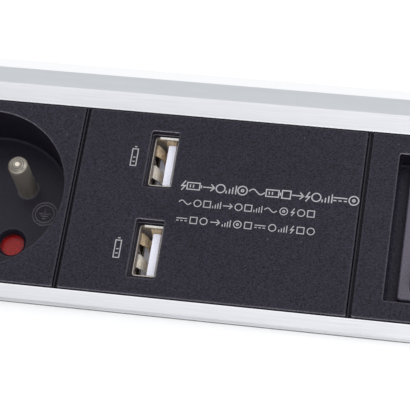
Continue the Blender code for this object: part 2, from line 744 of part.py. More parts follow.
def build_switch(span, black, bezel_grey, red, steel, brass):
    centre = 0.5 * (span[0] + span[1])
    frame = face_frame(centre)
    face = plate("switch_face", span, black)
    half_w, half_h = 0.5 * SWITCH_RECESS[0], 0.5 * SWITCH_RECESS[1]
    floor = SWITCH_LEDGE + 2.0
    tub = box("switch_tub", (-half_w - 1.4, half_w + 1.4), (-half_h - 1.4, half_h + 1.4),
              (-floor - 1.6, -1.0), frame)
    fuse(face, tub)
    well = box("switch_well", (-half_w, half_w), (-half_h, half_h), (-floor, 3.0), frame)
    body_w, body_h = 22.4, 29.4
    seat = box("switch_seat", (-0.5 * body_w - GAP, 0.5 * body_w + GAP),
               (-0.5 * body_h - GAP, 0.5 * body_h + GAP), (-floor - 4.0, 0.0), frame)
    cut(face, well, seat)

    body = box("switch_body", (-0.5 * BEZEL[0], 0.5 * BEZEL[0]),
               (-0.5 * BEZEL[1], 0.5 * BEZEL[1]), (-floor + 0.2, -SWITCH_LEDGE), frame,
               bezel_grey)
    bevel(body, 0.5, 2)
    can = box("switch_can", (-0.5 * body_w, 0.5 * body_w), (-0.5 * body_h, 0.5 * body_h),
              (-18.6, -floor + 0.8), frame)
    fuse(body, can)
    cavity_w, cavity_h = 0.5 * ROCKER[0] + 0.3, 0.5 * ROCKER[1] + 1.1
    cavity = box("rocker_cavity", (-cavity_w, cavity_w), (-cavity_h, cavity_h), (-15.4, 0.0),
                 frame)
    pivot_frame = face_frame(centre, z=-PIVOT_DEPTH) @ ALONG_X
    pivot_hole = cylinder("pivot_hole", PIVOT_RADIUS + 0.15, (-13.0, 13.0), pivot_frame,
                          segments=20)
    cut(body, cavity, pivot_hole)
    for i, y in enumerate((-2.0, 9.0), 1):
        slot = box(f"terminal_slot_{i}", (-3.5, 3.5), (y - 0.8, y + 0.8), (-21.0, -16.4), frame)
        cut(body, slot)
        blade = box(f"switch_terminal_{i}", (-3.1, 3.1), (y - 0.4, y + 0.4), (-25.5, -16.8),
                    frame, brass)
        bevel(blade, 0.2)

    cylinder("switch_pivot", PIVOT_RADIUS, (-10.9, 10.9), pivot_frame, steel, 20)
    lean = Matrix.Rotation(math.radians(ROCKER_TURN), 4, "X")
    rest = face_frame(centre, z=-PIVOT_DEPTH) @ lean
    side = Matrix.Rotation(math.radians(90.0), 4, "Z") @ Matrix.Rotation(
        math.radians(90.0), 4, "X"
    )
    rocker = prism("switch_rocker", rocker_outline(), -0.5 * ROCKER[0], 0.5 * ROCKER[0],
                   rest @ side, red)
    bevel(rocker, 0.35, 2)
    bore = cylinder("rocker_bore", PIVOT_RADIUS + 0.15, (-12.0, 12.0), rest @ ALONG_X,
                    segments=20)
    cut(rocker, bore)


# ---------------------------------------------------------------- mains inlet

def inlet_shape(width, height, chamfer):
    """Inlet outline: a rectangle whose two lower corners are cut off."""
    w, h = 0.5 * width, 0.5 * height
    return [(-w, h), (-w, -h + chamfer), (-w + chamfer, -h), (w - chamfer, -h),
            (w, -h + chamfer), (w, h)]


def build_inlet(black, steel):
    back = outer_corners()[3][0]
    outward = Matrix.Rotation(math.pi, 4, "Z") @ ALONG_Y
    frame = world_frame(INLET_X - CENTRE_X, back + INLET_GAP, INLET_Z, outward)
    flange = rounded_rectangle(*INLET_FLANGE, 2.0)
    body = prism("inlet_body", flange, 0.0, INLET_FLANGE_THICK, frame, black)
    bevel(body, 0.4)
    can = prism("inlet_can", inlet_shape(INLET_CUTOUT[0] - 0.6, INLET_CUTOUT[1] - 0.6, 4.0),
                -INLET_DEPTH, 1.0, frame)
    cavity = prism("inlet_cavity", inlet_shape(*INLET_CAVITY, 4.5), -15.0, 4.0, frame)
    fuse(body, can)
    cut(body, cavity)
    pins = (("live", -7.0, 1.0), ("neutral", 7.0, 1.0), ("earth", 0.0, -3.0))
    for name, x, y in pins:
        slot = box(f"inlet_slot_{name}", (x - 1.2, x + 1.2), (y - 2.2, y + 2.2),
                   (-INLET_DEPTH - 2.0, -12.0), frame)
        cut(body, slot)
        pin = box(f"inlet_pin_{name}", (x - 1.0, x + 1.0), (y - 2.0, y + 2.0),
                  (-INLET_DEPTH - 4.0, -2.0), frame, steel)
        bevel(pin, 0.3)


def clear_scene():
    for obj in list(bpy.data.objects):
        bpy.data.objects.remove(obj, do_unlink=True)


def main():
    clear_scene()
    aluminium = material("aluminium", (0.80, 0.81, 0.84), 0.35, 1.0)
    grey = material("cap_plastic", (0.06, 0.06, 0.065), 0.5)
    black = material("module_plastic", (0.035, 0.034, 0.042), 0.5)
    light = material("divider_plastic", (0.32, 0.32, 0.35), 0.5)
    bezel = material("bezel_plastic", (0.09, 0.085, 0.105), 0.4)
    red = material("red_plastic", (0.55, 0.02, 0.02), 0.4)
    white = material("white_plastic", (0.85, 0.85, 0.82), 0.5)
    steel = material("nickel_steel", (0.60, 0.58, 0.56), 0.3, 1.0)
    brass = material("brass", (0.80, 0.60, 0.30), 0.3, 1.0)
    copper = material("copper", (0.85, 0.45, 0.30), 0.3, 1.0)
    rubber = material("rubber", (0.02, 0.02, 0.02), 0.8)
    green = material("circuit_board", (0.02, 0.20, 0.08), 0.5)
    ferrite = material("ferrite", (0.05, 0.05, 0.05), 0.6)
    sleeve = material("capacitor_sleeve", (0.05, 0.08, 0.25), 0.35)

    spans = module_spans()
    build_housing(aluminium, grey, steel, rubber)
    build_dividers(light)
    for number, centre, span in zip((1, 2), socket_centres(), spans):
        build_socket(number, centre, span, black, red, steel, brass, steel)
    build_busbars(copper)
    build_usb(spans[2], black, steel, white, green, ferrite, sleeve)
    build_switch(spans[3], black, bezel, red, steel, brass)
    build_inlet(black, steel)


main()
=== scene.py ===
"""Desk power strip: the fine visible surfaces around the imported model.

Lengths in the shape functions are millimetres. Three frames are used: the world, the
tilted front (x along the strip, y up the slope, z outward) and each socket's turned frame.
"""
import json
import math

import bpy
import numpy as np
from bpy.props import FloatProperty, FloatVectorProperty, PointerProperty
from mathutils import Matrix, Vector


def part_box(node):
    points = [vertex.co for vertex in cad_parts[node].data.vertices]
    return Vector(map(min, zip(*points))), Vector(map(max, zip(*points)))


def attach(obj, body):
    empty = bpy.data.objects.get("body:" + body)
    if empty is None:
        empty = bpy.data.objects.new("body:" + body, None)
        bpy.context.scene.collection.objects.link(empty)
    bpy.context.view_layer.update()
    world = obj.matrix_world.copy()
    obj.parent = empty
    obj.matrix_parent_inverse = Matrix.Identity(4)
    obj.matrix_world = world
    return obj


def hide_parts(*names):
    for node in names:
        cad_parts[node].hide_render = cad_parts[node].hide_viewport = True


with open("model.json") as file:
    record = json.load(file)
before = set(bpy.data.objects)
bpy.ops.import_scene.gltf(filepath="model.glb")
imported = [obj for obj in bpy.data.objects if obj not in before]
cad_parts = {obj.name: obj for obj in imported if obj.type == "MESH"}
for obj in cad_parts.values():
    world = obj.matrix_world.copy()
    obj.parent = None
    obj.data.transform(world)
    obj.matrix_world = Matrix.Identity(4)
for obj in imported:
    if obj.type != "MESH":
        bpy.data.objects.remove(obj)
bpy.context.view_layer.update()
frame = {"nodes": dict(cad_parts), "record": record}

bl_info = {
    "name": "Desk power strip",
    "version": (1, 0, 0),
    "blender": (4, 5, 0),
    "location": "3D View > Sidebar > Power strip",
    "description": "Builds the visible surfaces of a desk power strip",
    "category": "Add Mesh",
}

MM = 0.001
BODY = "strip"

# Housing section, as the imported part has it
FACE_TILT = math.radians(61.0)
TOP_TILT = math.radians(5.5)
BAND = 46.95
LIP_TOP = 4.86
LIP_BOTTOM = 4.18
TOP_DEPTH = 36.0
BASE_Z = 0.3
TOE_Z = 0.1
PLATE_BACK = -2.2
PLATE_HALF = 0.5 * BAND - 0.2

PLATE_CORNER = 0.55
SMOOTH_ANGLE = math.radians(32.0)
PLATES = ("socket_face_1", "socket_face_2", "usb_face", "switch_face")

# Sockets
RECESS_RADIUS = 20.35
RECESS_DEPTH = 14.2
CUP_RADIUS = 21.85
FLOOR_BACK = -16.0
INSERT_TURN = math.radians(-49.0)
HOLE_OFFSET = 9.8
EARTH_OFFSET = 10.5
PIN_RADIUS = 2.4


# Turned profiles, as (radius, z) points; z is 0 on the front or on the cap's face
PIN_HOLE = ((0.01, -18.0), (2.9, -18.0), (2.9, -15.2), (3.0, -14.95), (3.6, -14.28),
            (3.75, -14.18), (3.75, -12.2), (0.01, -12.2))
EARTH_HOLE = ((0.01, -18.0), (2.45, -18.0), (2.45, -12.2), (0.01, -12.2))
EARTH_PIN = ((0.01, -28.2), (2.4, -28.2), (2.4, -14.0), (2.4, -2.2), (2.4, -1.4),
             (2.37, -1.1), (2.28, -0.8), (2.12, -0.56), (1.9, -0.4), (1.62, -0.3),
             (1.52, -0.35), (1.42, -0.35), (1.32, -0.28), (1.0, -0.24), (0.9, -0.29),
             (0.8, -0.29), (0.7, -0.22), (0.35, -0.2), (0.01, -0.2))
PIN_END = -0.7
SCREW_BORE = ((0.01, -6.0), (1.75, -6.0), (1.75, -1.5), (3.1, -1.5), (3.1, -0.3),
              (3.5, 0.1), (3.5, 2.0), (0.01, 2.0))
SCREW = ((0.01, -11.0), (1.0, -11.0), (1.3, -10.5), (1.3, -1.3), (2.6, -1.3),
         (2.8, -1.15), (2.8, -0.6), (2.7, -0.3), (2.4, -0.02), (1.9, 0.14), (1.2, 0.25),
         (0.5, 0.29), (0.01, 0.3))

# USB charger
CHARGER_FROM_SOCKET = 55.85
PORT_HOLES = {"upper": (-13.8, 11.42), "lower": (-13.8, -11.48)}
PORT_HOLE = (6.6, 14.65)
SHELL_FRONT = 2.5
SHELL = (5.7, 12.8)
TONGUE = (1.85, 10.6)
COLLAR = (7.8, 15.2)
COLLAR_HOLE = (5.82, 12.92)
COLLAR_BACK = -8.0

# Rocker switch
SWITCH_RECESS = (31.0, 36.8)
SWITCH_OPENING = (23.0, 30.0)
SWITCH_CAN = (22.4, 29.4)
SWITCH_BACK = -18.6
BEZEL = (25.6, 32.3)
BEZEL_DEPTH = 4.4
ROCKER = (19.4, 25.4)
ROCKER_LEAN = math.radians(-8.0)
ROCKER_DISH = 1.25
PIVOT_DEPTH = 9.5

# Mains inlet
INLET_CUT = (27.4, 20.0)
INLET_FLANGE = (31.0, 23.6)
INLET_DEPTH = 17.0

# Direction of the front
UP_SLOPE = Vector((0.0, math.cos(FACE_TILT), math.sin(FACE_TILT)))
OUTWARD = Vector((0.0, -math.sin(FACE_TILT), math.cos(FACE_TILT)))


def mount_point(name):
    """Place of one of the part's mounts, in mm."""
    for mount in frame["record"]["mounts"]:
        if mount["name"] == name:
            return Vector(mount["pos_m"]) / MM
    raise RuntimeError(f"the packed part has no mount {name}")


FACE_POINT = mount_point("socket_2_floor") + OUTWARD * RECESS_DEPTH
SOCKET_X = {1: mount_point("socket_1_floor").x, 2: mount_point("socket_2_floor").x}
CHARGER_X = SOCKET_X[2] + CHARGER_FROM_SOCKET


def node_span(node, axis=0):
    """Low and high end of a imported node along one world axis, in mm."""
    low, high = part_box(node)
    return low[axis] / MM, high[axis] / MM


def face_frame(x, y=0.0, z=0.0, turn=0.0):
    """Frame on the tilted front, turned about its outward axis."""
    place = Vector((x, FACE_POINT.y, FACE_POINT.z)) + UP_SLOPE * y + OUTWARD * z
    tilt = Matrix.Rotation(FACE_TILT, 4, "X")
    return Matrix.Translation(place) @ tilt @ Matrix.Rotation(turn, 4, "Z")


WORLD = Matrix.Identity(4)


# ---------------------------------------------------------------- outlines and rings

def directions(angle):
    """Unit vectors (cos a, sin a) of an array of angles."""
    return np.stack([np.cos(angle), np.sin(angle)], 1)


def corner_outline(corners, steps=6):
    """Closed outline through (x, y, radius) corners, or (x, y, radius, steps).

    Each corner becomes an arc of its radius that touches both of its sides; the arc's
    centre is corner + bisector * radius / sin(half the corner's angle).
    """
    points = np.array([c[:2] for c in corners], float)
    parts = []
    for i, corner in enumerate(corners):
        radius, parted = corner[2], corner[3] if len(corner) > 3 else steps
        here = points[i]
        if radius <= 0.0:
            parts.append(here[None, :])
            continue
        before = points[i - 1] - here
        after = points[(i + 1) % len(points)] - here
        before /= np.linalg.norm(before)
        after /= np.linalg.norm(after)
        half = 0.5 * math.acos(np.clip(before @ after, -1.0, 1.0))
        middle = (before + after) / np.linalg.norm(before + after)
        centre = here + middle * radius / math.sin(half)
        first = here + before * radius / math.tan(half) - centre
        last = here + after * radius / math.tan(half) - centre
        sweep = math.atan2(first[0] * last[1] - first[1] * last[0], first @ last)
        angle = math.atan2(first[1], first[0]) + sweep * np.linspace(0.0, 1.0, parted + 1)
        parts.append(centre + radius * directions(angle))
    return np.concatenate(parts)


def rectangle(width, height, radius, centre=(0.0, 0.0), steps=6, side=10):
    """Rounded rectangle whose straight sides are divided into equal parts."""
    w, h = 0.5 * width, 0.5 * height
    corners = [(-w, -h, radius), (w, -h, radius), (w, h, radius), (-w, h, radius)]
    outline = corner_outline(corners, steps)
    nose = np.roll(outline, -1, 0) - outline
    far = np.linalg.norm(nose, axis=1) > min(width, height) / 3.0
    share = np.linspace(0.0, 1.0, side, endpoint=False)
    pieces = [
        outline[i] + share[:, None] * nose[i] if far[i] else outline[i][None, :]
        for i in range(len(outline))
    ]
    return np.concatenate(pieces) + np.array(centre)


def circle(radius, count=64, centre=(0.0, 0.0)):
    """Points at centre + radius * (cos a, sin a), with a in equal steps."""
    angle = np.arange(count) * 2.0 * np.pi / count
    return directions(angle) * radius + np.array(centre)


def circle_facing(outline, radius):
    """Circle about the origin with one point in the direction of each outline point."""
    angle = np.arctan2(outline[:, 1], outline[:, 0])
    return directions(angle) * radius


def seen_from_middle(outline, angle):
    """Points where rays from the origin at the given angles cross an outline.

    Ray d meets the side from p to q at distance cross(p, q) / cross(d, q - p).
    """
    own = np.arctan2(outline[:, 1], outline[:, 0])
    order = np.argsort(own)
    own, outline = own[order], outline[order]
    after = np.searchsorted(own, angle, side="right") % len(own)
    p, q = outline[after - 1], outline[after]
    ray = directions(angle)
    run = q - p
    reach = p[:, 0] * q[:, 1] - p[:, 1] * q[:, 0]
    reach /= ray[:, 0] * run[:, 1] - ray[:, 1] * run[:, 0]
    return ray * reach[:, None]


def inset(outline, distance):
    """Outline moved inwards: point + distance * (n1 + n2) / (1 + d1 . d2).

    n1, n2 and d1, d2 are the normals and directions of the two sides at the point.
    """
    ahead = np.roll(outline, -1, 0) - outline
    behind = outline - np.roll(outline, 1, 0)
    ahead /= np.maximum(np.linalg.norm(ahead, axis=1, keepdims=True), 1e-9)
    behind /= np.maximum(np.linalg.norm(behind, axis=1, keepdims=True), 1e-9)
    normal = np.stack([-(ahead + behind)[:, 1], (ahead + behind)[:, 0]], 1)
    stretch = np.maximum(1.0 + np.sum(ahead * behind, 1, keepdims=True), 0.3)
    area = np.sum(outline[:, 0] * np.roll(outline[:, 1], -1))
    area -= np.sum(outline[:, 1] * np.roll(outline[:, 0], -1))
    return outline + np.sign(area) * normal / stretch * distance


def level(outline, z):
    """Outline lifted to one height, as a ring of points."""
    return np.column_stack([outline, np.full(len(outline), z)])


def levels(*pairs):
    """Rings of several (outline, height) pairs."""
    return [level(outline, z) for outline, z in pairs]


def rounded_edge(outline, top, radius, steps=5, outwards=False):
    """Rings of a quarter-round edge that ends flat at height top.

    Ring k lies radius * (1 - cos) inside the outline and radius * (1 - sin) below the
    top, for angles from 0 to 90 degrees; outwards gives the mirrored edge of a hole.
    """
    angle = np.linspace(0.0, 0.5 * np.pi, steps + 1)
    sign = -1.0 if outwards else 1.0
    rings = [level(inset(outline, sign * radius * (1.0 - math.cos(a))),
                   top - radius * (1.0 - math.sin(a))) for a in angle]
    return rings + [level(inset(outline, sign * radius * 1.25), top)]


def turned(profile, count=48, centre=(0.0, 0.0)):
    """Rings of a turned shape: (radius * cos a, radius * sin a, z) of each profile point."""
    profile = np.array(profile, float)
    ring = circle(1.0, count)
    points = np.empty((len(profile), count, 3))
    points[:, :, :2] = profile[:, None, :1] * ring[None] + np.array(centre)
    points[:, :, 2] = profile[:, 1][:, None]
    return list(points)


# ---------------------------------------------------------------- meshes

def signed_volume(points, faces):
    """Six times the volume inside: the sum of a . (b x c) over the triangles."""
    total = 0.0
    for face in faces:
        a = points[face[:, 0]]
        for k in range(1, face.shape[1] - 1):
            total += np.sum(a * np.cross(points[face[:, k]], points[face[:, k + 1]]))
    return total


def skin(rings, closed=False):
    """Points and faces of a skin over equal rings.

    Face (i, j) joins points j and j + 1 of ring i to the same points of ring i + 1.
    Closed joins the last ring to the first; otherwise a cap closes each end.
    """
    rings = np.array(rings, float)
    count, size = rings.shape[:2]
    points = rings.reshape(-1, 3)
    index = np.arange(count * size).reshape(count, size)
    lower = index if closed else index[:-1]
    upper = np.roll(index, -1, 0) if closed else index[1:]
    quads = np.stack([lower, np.roll(lower, -1, 1), np.roll(upper, -1, 1), upper], -1)
    faces = [quads.reshape(-1, 4)]
    if not closed:
        faces += [index[0][::-1][None, :], index[-1][None, :]]
    if signed_volume(points, faces) < 0.0:
        faces = [face[:, ::-1] for face in faces]
    return points, faces


def joined(shapes):
    """Several (points, faces) skins as one."""
    points, faces, start = [], [], 0
    for some_points, some_faces in shapes:
        points.append(some_points)
        faces += [face + start for face in some_faces]
        start += len(some_points)
    return np.concatenate(points), faces


def make_mesh(name, shape, place):
    """Mesh object of a skin, or of a list of rings, with its place worked in."""
    points, faces = shape if isinstance(shape, tuple) else skin(shape)
    world = np.array(place)
    points = (points @ world[:3, :3].T + world[:3, 3]) * MM
    mesh = bpy.data.meshes.new(name)
    mesh.from_pydata(points.tolist(), [], [f for face in faces for f in face.tolist()])
    mesh.validate()
    obj = bpy.data.objects.new(name, mesh)
    bpy.context.scene.collection.objects.link(obj)
    return obj


def carve(obj, cutters):
    """Cut the cutters out of a piece and throw them away."""
    for cutter in cutters:
        step = obj.modifiers.new("cut", "BOOLEAN")
        step.operation = "DIFFERENCE"
        step.solver = "EXACT"
        step.object = cutter
    graph = bpy.context.evaluated_depsgraph_get()
    mesh = bpy.data.meshes.new_from_object(obj.evaluated_get(graph))
    obj.modifiers.clear()
    obj.data = mesh
    for cutter in cutters:
        bpy.data.objects.remove(cutter)


def cutter(rings, place):
    """Mesh over rings, for carve to cut with."""
    return make_mesh("cutter", rings, place)


def piece(name, shape, place, finish, replaced=(), body=BODY, cuts=()):
    """Finished piece: carved, shaded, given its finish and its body."""
    obj = make_mesh(name, shape, place)
    if cuts:
        carve(obj, cuts)
    obj.data.shade_smooth()
    obj.data.set_sharp_from_angle(angle=SMOOTH_ANGLE)
    obj.data.materials.clear()
    obj.data.materials.append(finishes()[finish])
    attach(obj, body)
    if replaced:
        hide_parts(*replaced)
    return obj


# ---------------------------------------------------------------- finishes

def node(tree, kind, **inputs):
    """Shader node whose inputs are set or linked by name; spaces are written as _."""
    made = tree.nodes.new(kind)
    for key, value in inputs.items():
        numbered = key[0] == "i" and key[1:].isdigit()
        socket = made.inputs[int(key[1:]) if numbered else key.replace("_", " ")]
        if isinstance(value, bpy.types.NodeSocket):
            tree.links.new(value, socket)
        else:
            socket.default_value = value
    return made


def ramp(tree, value, low, high, start, end):
    """Value mapped from start..end to low..high, held at the ends."""
    mapped = node(tree, "ShaderNodeMapRange", Value=value, From_Min=start, From_Max=end,
                  To_Min=low, To_Max=high)
    return mapped.outputs["Result"]


def blend_colour(tree, factor, first, second, mode="MIX"):
    """Colour between two colours by a factor, or another mix of them."""
    mix = tree.nodes.new("ShaderNodeMix")
    mix.data_type = "RGBA"
    mix.blend_type = mode
    for socket, value in zip((mix.inputs[0], mix.inputs[6], mix.inputs[7]),
                             (factor, first, second)):
        if isinstance(value, bpy.types.NodeSocket):
            tree.links.new(value, socket)
        else:
            socket.default_value = value
    return mix.outputs[2]


def calculate(tree, operation, *values):
    """Result of a math node on one or two values."""
    made = node(tree, "ShaderNodeMath", **{f"i{k}": value for k, value in enumerate(values)})
    made.operation = operation
    return made.outputs[0]


def scaled_colour(tree, surface, value):
    """Colour times a grey value."""
    grey = node(tree, "ShaderNodeCombineColor", i0=value, i1=value, i2=value).outputs[0]
    return blend_colour(tree, 1.0, surface, grey, "MULTIPLY")


def stepped(tree, value, stops):
    """Colour of a value by (position, colour) stops."""
    made = node(tree, "ShaderNodeValToRGB", i0=value)
    elements = made.color_ramp.elements
    while len(elements) < len(stops):
        elements.new(0.5)
    for element, (place, colour) in zip(elements, stops):
        element.position = place
        element.color = (*colour, 1.0)
    return made.outputs[0]


def shade(colour, factor):
    """Colour times a factor, held at white, with full alpha."""
    return (*[min(1.0, c * factor) for c in colour], 1.0)


def turning_rings_and_tip_shade(tree, surface):
    """Fine dark rings on a turned end, from each point's distance to the axis in mm.

    The rings' tone is the sine of 15 times the distance, blended in between the middle
    and the rim; it darkens the end to 0.16 to 0.42 of its colour, which is painted shade
    standing for a dark reflection, so the spared middle reads as a bright spot.
    """
    reach = node(tree, "ShaderNodeAttribute")
    reach.attribute_name = "turning"
    wave = calculate(tree, "SINE", calculate(tree, "MULTIPLY", reach.outputs["Fac"], 15.0))
    # Painted shade: the rings darken the end strongly, for a dark reflection, apart from its
    # middle and rim
    groove = ramp(tree, wave, 0.16, 0.42, -1.0, 1.0)
    across = ramp(tree, reach.outputs["Fac"], 0.0, 1.0, 0.0, PIN_RADIUS)
    face = stepped(tree, across, [(at, (value,) * 3) for at, value in (
        (0.0, 1.0), (0.18, 1.0), (0.30, 0.0), (0.80, 0.0), (0.96, 1.0))])
    dark = node(tree, "ShaderNodeCombineColor", i0=groove, i1=groove, i2=groove).outputs[0]
    tone = blend_colour(tree, face, dark, (1.0, 1.0, 1.0, 1.0))
    return blend_colour(tree, 1.0, surface, tone, "MULTIPLY")


def make_finish(name, colour, roughness, metallic=0.0, grain=0.25, stretch=(1.0, 1.0, 1.0),
                spread=0.12, mottle=0.06, rough_spread=0.08, bump=0.01, edge=0.0,
                edge_span=(0.62, 0.9), edge_reach=0.45, low_edge=0.0, wear_and_sheen=(0.3, 0.3, 0.3),
                specks=0.0, specular=0.5, rings=False):
    """Procedural surface: a fine grain, a broad mottle, edges lightened by wear and painted
    highlight, and specks.

    Grain is the feature size in mm, stretched along axes by stretch; spread and mottle
    are the colour changes; bump is the relief in mm; edge is how far convex edges turn
    to the edge colour, partly wear and partly painted highlight, over the span of their
    openness and a reach in mm, and low_edge is how much further the edges that face down
    turn, a painted highlight standing for the floor's light reflected onto them. Rings
    adds turning marks and the painted shade of a turned end.
    """
    mat = bpy.data.materials.new(name)
    mat.use_nodes = True
    tree = mat.node_tree
    shader = tree.nodes["Principled BSDF"]
    place = tree.nodes.new("ShaderNodeTexCoord").outputs["Object"]
    scale = tuple(1.0 / (MM * grain * s) for s in stretch)
    fine_place = node(tree, "ShaderNodeMapping", Vector=place, Scale=scale)
    fine = node(tree, "ShaderNodeTexNoise", Vector=fine_place.outputs[0], Scale=1.0,
                Detail=3.0, Roughness=0.6).outputs[0]
    broad = node(tree, "ShaderNodeTexNoise", Vector=place, Scale=70.0, Detail=4.0,
                 Roughness=0.55).outputs[0]
    low, high = shade(colour, 1.0 - spread), shade(colour, 1.0 + spread)
    surface = blend_colour(tree, ramp(tree, fine, 0.0, 1.0, 0.32, 0.68), low, high)
    tint = ramp(tree, broad, 1.0 - mottle, 1.0 + mottle, 0.3, 0.7)
    surface = scaled_colour(tree, surface, tint)
    if specks > 0.0:
        dots = node(tree, "ShaderNodeTexVoronoi", Vector=place, Scale=420.0)
        patch = node(tree, "ShaderNodeTexNoise", Vector=place, Scale=900.0)
        spot = ramp(tree, dots.outputs["Distance"], specks, 0.0, 0.05, 0.09)
        gate = ramp(tree, patch.outputs[0], 0.0, 1.0, 0.56, 0.6)
        both = calculate(tree, "MULTIPLY", spot, gate)
        surface = blend_colour(tree, both, surface, (0.45, 0.44, 0.43, 1.0))
    # Convex edges turn lighter, partly as wear and partly as painted highlight; low_edge adds
    # more painted highlight on edges that face down
    if edge > 0.0:
        corner = node(tree, "ShaderNodeAmbientOcclusion", Distance=edge_reach * MM)
        corner.inside = corner.only_local = True
        corner.samples = 6
        normal = tree.nodes.new("ShaderNodeTexCoord").outputs["Normal"]
        upright = node(tree, "ShaderNodeSeparateXYZ", Vector=normal).outputs["Z"]
        openness = ramp(tree, corner.outputs["AO"], 1.0, 0.0, *edge_span)
        # Painted highlight: edges that face down turn further to the edge colour
        strength = ramp(tree, upright, edge + low_edge, edge, -0.35, 0.25)
        wear_and_sheen_mask = calculate(tree, "MULTIPLY", openness, strength)
        surface = blend_colour(tree, wear_and_sheen_mask, surface, (*wear_and_sheen, 1.0))
    # Turning rings, with painted shade on the pin's end round a bright middle
    if rings:
        surface = turning_rings_and_tip_shade(tree, surface)
    tree.links.new(surface, shader.inputs["Base Color"])
    rough = ramp(tree, fine, roughness - rough_spread, roughness + rough_spread, 0.3, 0.7)
    tree.links.new(rough, shader.inputs["Roughness"])
    shader.inputs["Metallic"].default_value = metallic
    shader.inputs["Specular IOR Level"].default_value = specular
    if bump > 0.0:
        relief = node(tree, "ShaderNodeBump", Height=fine, Strength=1.0, Distance=bump * MM)
        tree.links.new(relief.outputs[0], shader.inputs["Normal"])
    return mat


def finishes():
    """All finishes, made once and kept by name."""
    made = {m.name: m for m in bpy.data.materials}
    if "module_plastic" in made:
        return made
    colours = bpy.context.scene.strip_colours
    leaf = dict(metallic=0.4, grain=0.35, stretch=(1.0, 5.0, 5.0), mottle=0.06)
    table = (
        # Aluminium: the near-white edge colour is painted highlight on the housing's sharp
        # edges, such as the lips' inner edges
        ("brushed_aluminium", colours.aluminium, 0.38, dict(
            metallic=0.9, grain=0.22, stretch=(60.0, 1.0, 1.0), spread=0.06, mottle=0.015,
            rough_spread=0.07, bump=0.004, edge=0.9, edge_span=(0.56, 0.84), edge_reach=0.7,
            wear_and_sheen=(0.86, 0.86, 0.88))),
        ("cap_plastic", colours.caps, 0.5, dict(grain=0.3, spread=0.2, bump=0.02, edge=0.35)),
        # Module plates: low_edge paints a highlight on the edges that face down; the weak edge
        # term mixes wear with painted highlight
        ("module_plastic", colours.modules, 0.42, dict(
            grain=0.33, stretch=(1.4, 1.0, 1.0), spread=0.85, mottle=0.10, rough_spread=0.1,
            bump=0.04, edge=0.1, low_edge=0.89, wear_and_sheen=(0.55, 0.52, 0.58), specks=0.12,
            specular=0.14)),
        # Recess plastic: its lightened edges mix wear with painted highlight on the recess
        # rims
        ("recess_plastic", colours.modules, 0.4, dict(
            grain=0.5, spread=0.3, mottle=0.12, rough_spread=0.06, edge=0.3,
            wear_and_sheen=(0.34, 0.32, 0.37), specular=0.17)),
        ("divider_plastic", colours.dividers, 0.45, dict(
            grain=0.2, spread=0.15, bump=0.004, specular=0.12)),
        ("bezel_plastic", colours.bezel, 0.3, dict(
            grain=0.4, spread=0.1, bump=0.003, edge=0.3)),
        ("signal_red", colours.signal_red, 0.34, dict(
            grain=0.6, spread=0.35, mottle=0.15, bump=0.02, specular=0.25)),
        ("nickel_plate", (0.70, 0.65, 0.57), 0.36, dict(
            metallic=0.75, grain=0.5, stretch=(1.0, 1.0, 6.0), spread=0.04, mottle=0.08,
            rough_spread=0.05, bump=0.0005)),
        ("turned_nickel", (0.58, 0.53, 0.45), 0.36, dict(
            metallic=0.8, grain=0.6, stretch=(1.0, 1.0, 8.0), spread=0.05, mottle=0.1,
            rough_spread=0.03, bump=0.0, rings=True)),
        ("spring_bronze", (0.74, 0.60, 0.42), 0.34, dict(leaf, spread=0.34)),
        ("tinned_steel", (0.40, 0.36, 0.33), 0.34, dict(
            metallic=0.8, grain=0.35, spread=0.3, mottle=0.15, bump=0.006)),
        ("bright_tin", (0.84, 0.81, 0.75), 0.34, dict(leaf, spread=0.18, bump=0.004)),
        ("contact_brass", (0.80, 0.60, 0.30), 0.3, dict(
            metallic=1.0, grain=0.3, spread=0.1, bump=0.003)),
        ("tongue_white", (0.83, 0.83, 0.92), 0.5, dict(
            grain=0.3, spread=0.03, mottle=0.02, bump=0.003)),
        ("print_grey", colours.print, 0.6, dict(
            grain=0.12, spread=0.25, mottle=0.1, bump=0.004)),
        ("screw_steel", (0.55, 0.55, 0.56), 0.32, dict(
            metallic=1.0, grain=0.15, bump=0.003)),
        ("foot_rubber", (0.02, 0.02, 0.021), 0.85, dict(
            grain=0.35, spread=0.3, bump=0.03, specular=0.25)),
        ("board_brown", (0.045, 0.028, 0.012), 0.4, dict(grain=1.2, spread=0.3, bump=0.02)),
        ("ferrite", (0.05, 0.05, 0.05), 0.6, dict(grain=0.2, spread=0.3)),
        ("capacitor_sleeve", (0.05, 0.08, 0.25), 0.3, dict(
            grain=0.6, spread=0.1, bump=0.002)),
    )
    for name, base, roughness, values in table:
        made[name] = make_finish(name, tuple(base), roughness, **values)
    return made


# ---------------------------------------------------------------- settings

def length(label, text, value):
    """Length setting, in metres."""
    return FloatProperty(name=label, description=text, default=value, min=0.0, unit="LENGTH")


def colour(label, text, value):
    """Colour setting."""
    return FloatVectorProperty(name=label, description=text, default=value, subtype="COLOR",
                               size=3, min=0.0, max=1.0)


class StripSizes(bpy.types.PropertyGroup):
    """Sizes of the fine shapes, in metres."""

    lip_edge: length("Lip edge", "Rounding of the lips beside the modules", 0.00012)
    cap_edge: length("Cap edge", "Rounding of the end caps", 0.00060)
    plate_edge: length("Plate edge", "Rounding round each module plate", 0.00035)
    rim_edge: length("Rim edge", "Rounding of the recess rims", 0.00035)
    print_height: length("Print height", "Thickness of the printed marks", 0.00003)
    stroke: length("Stroke", "Line width of the printed marks", 0.00026)


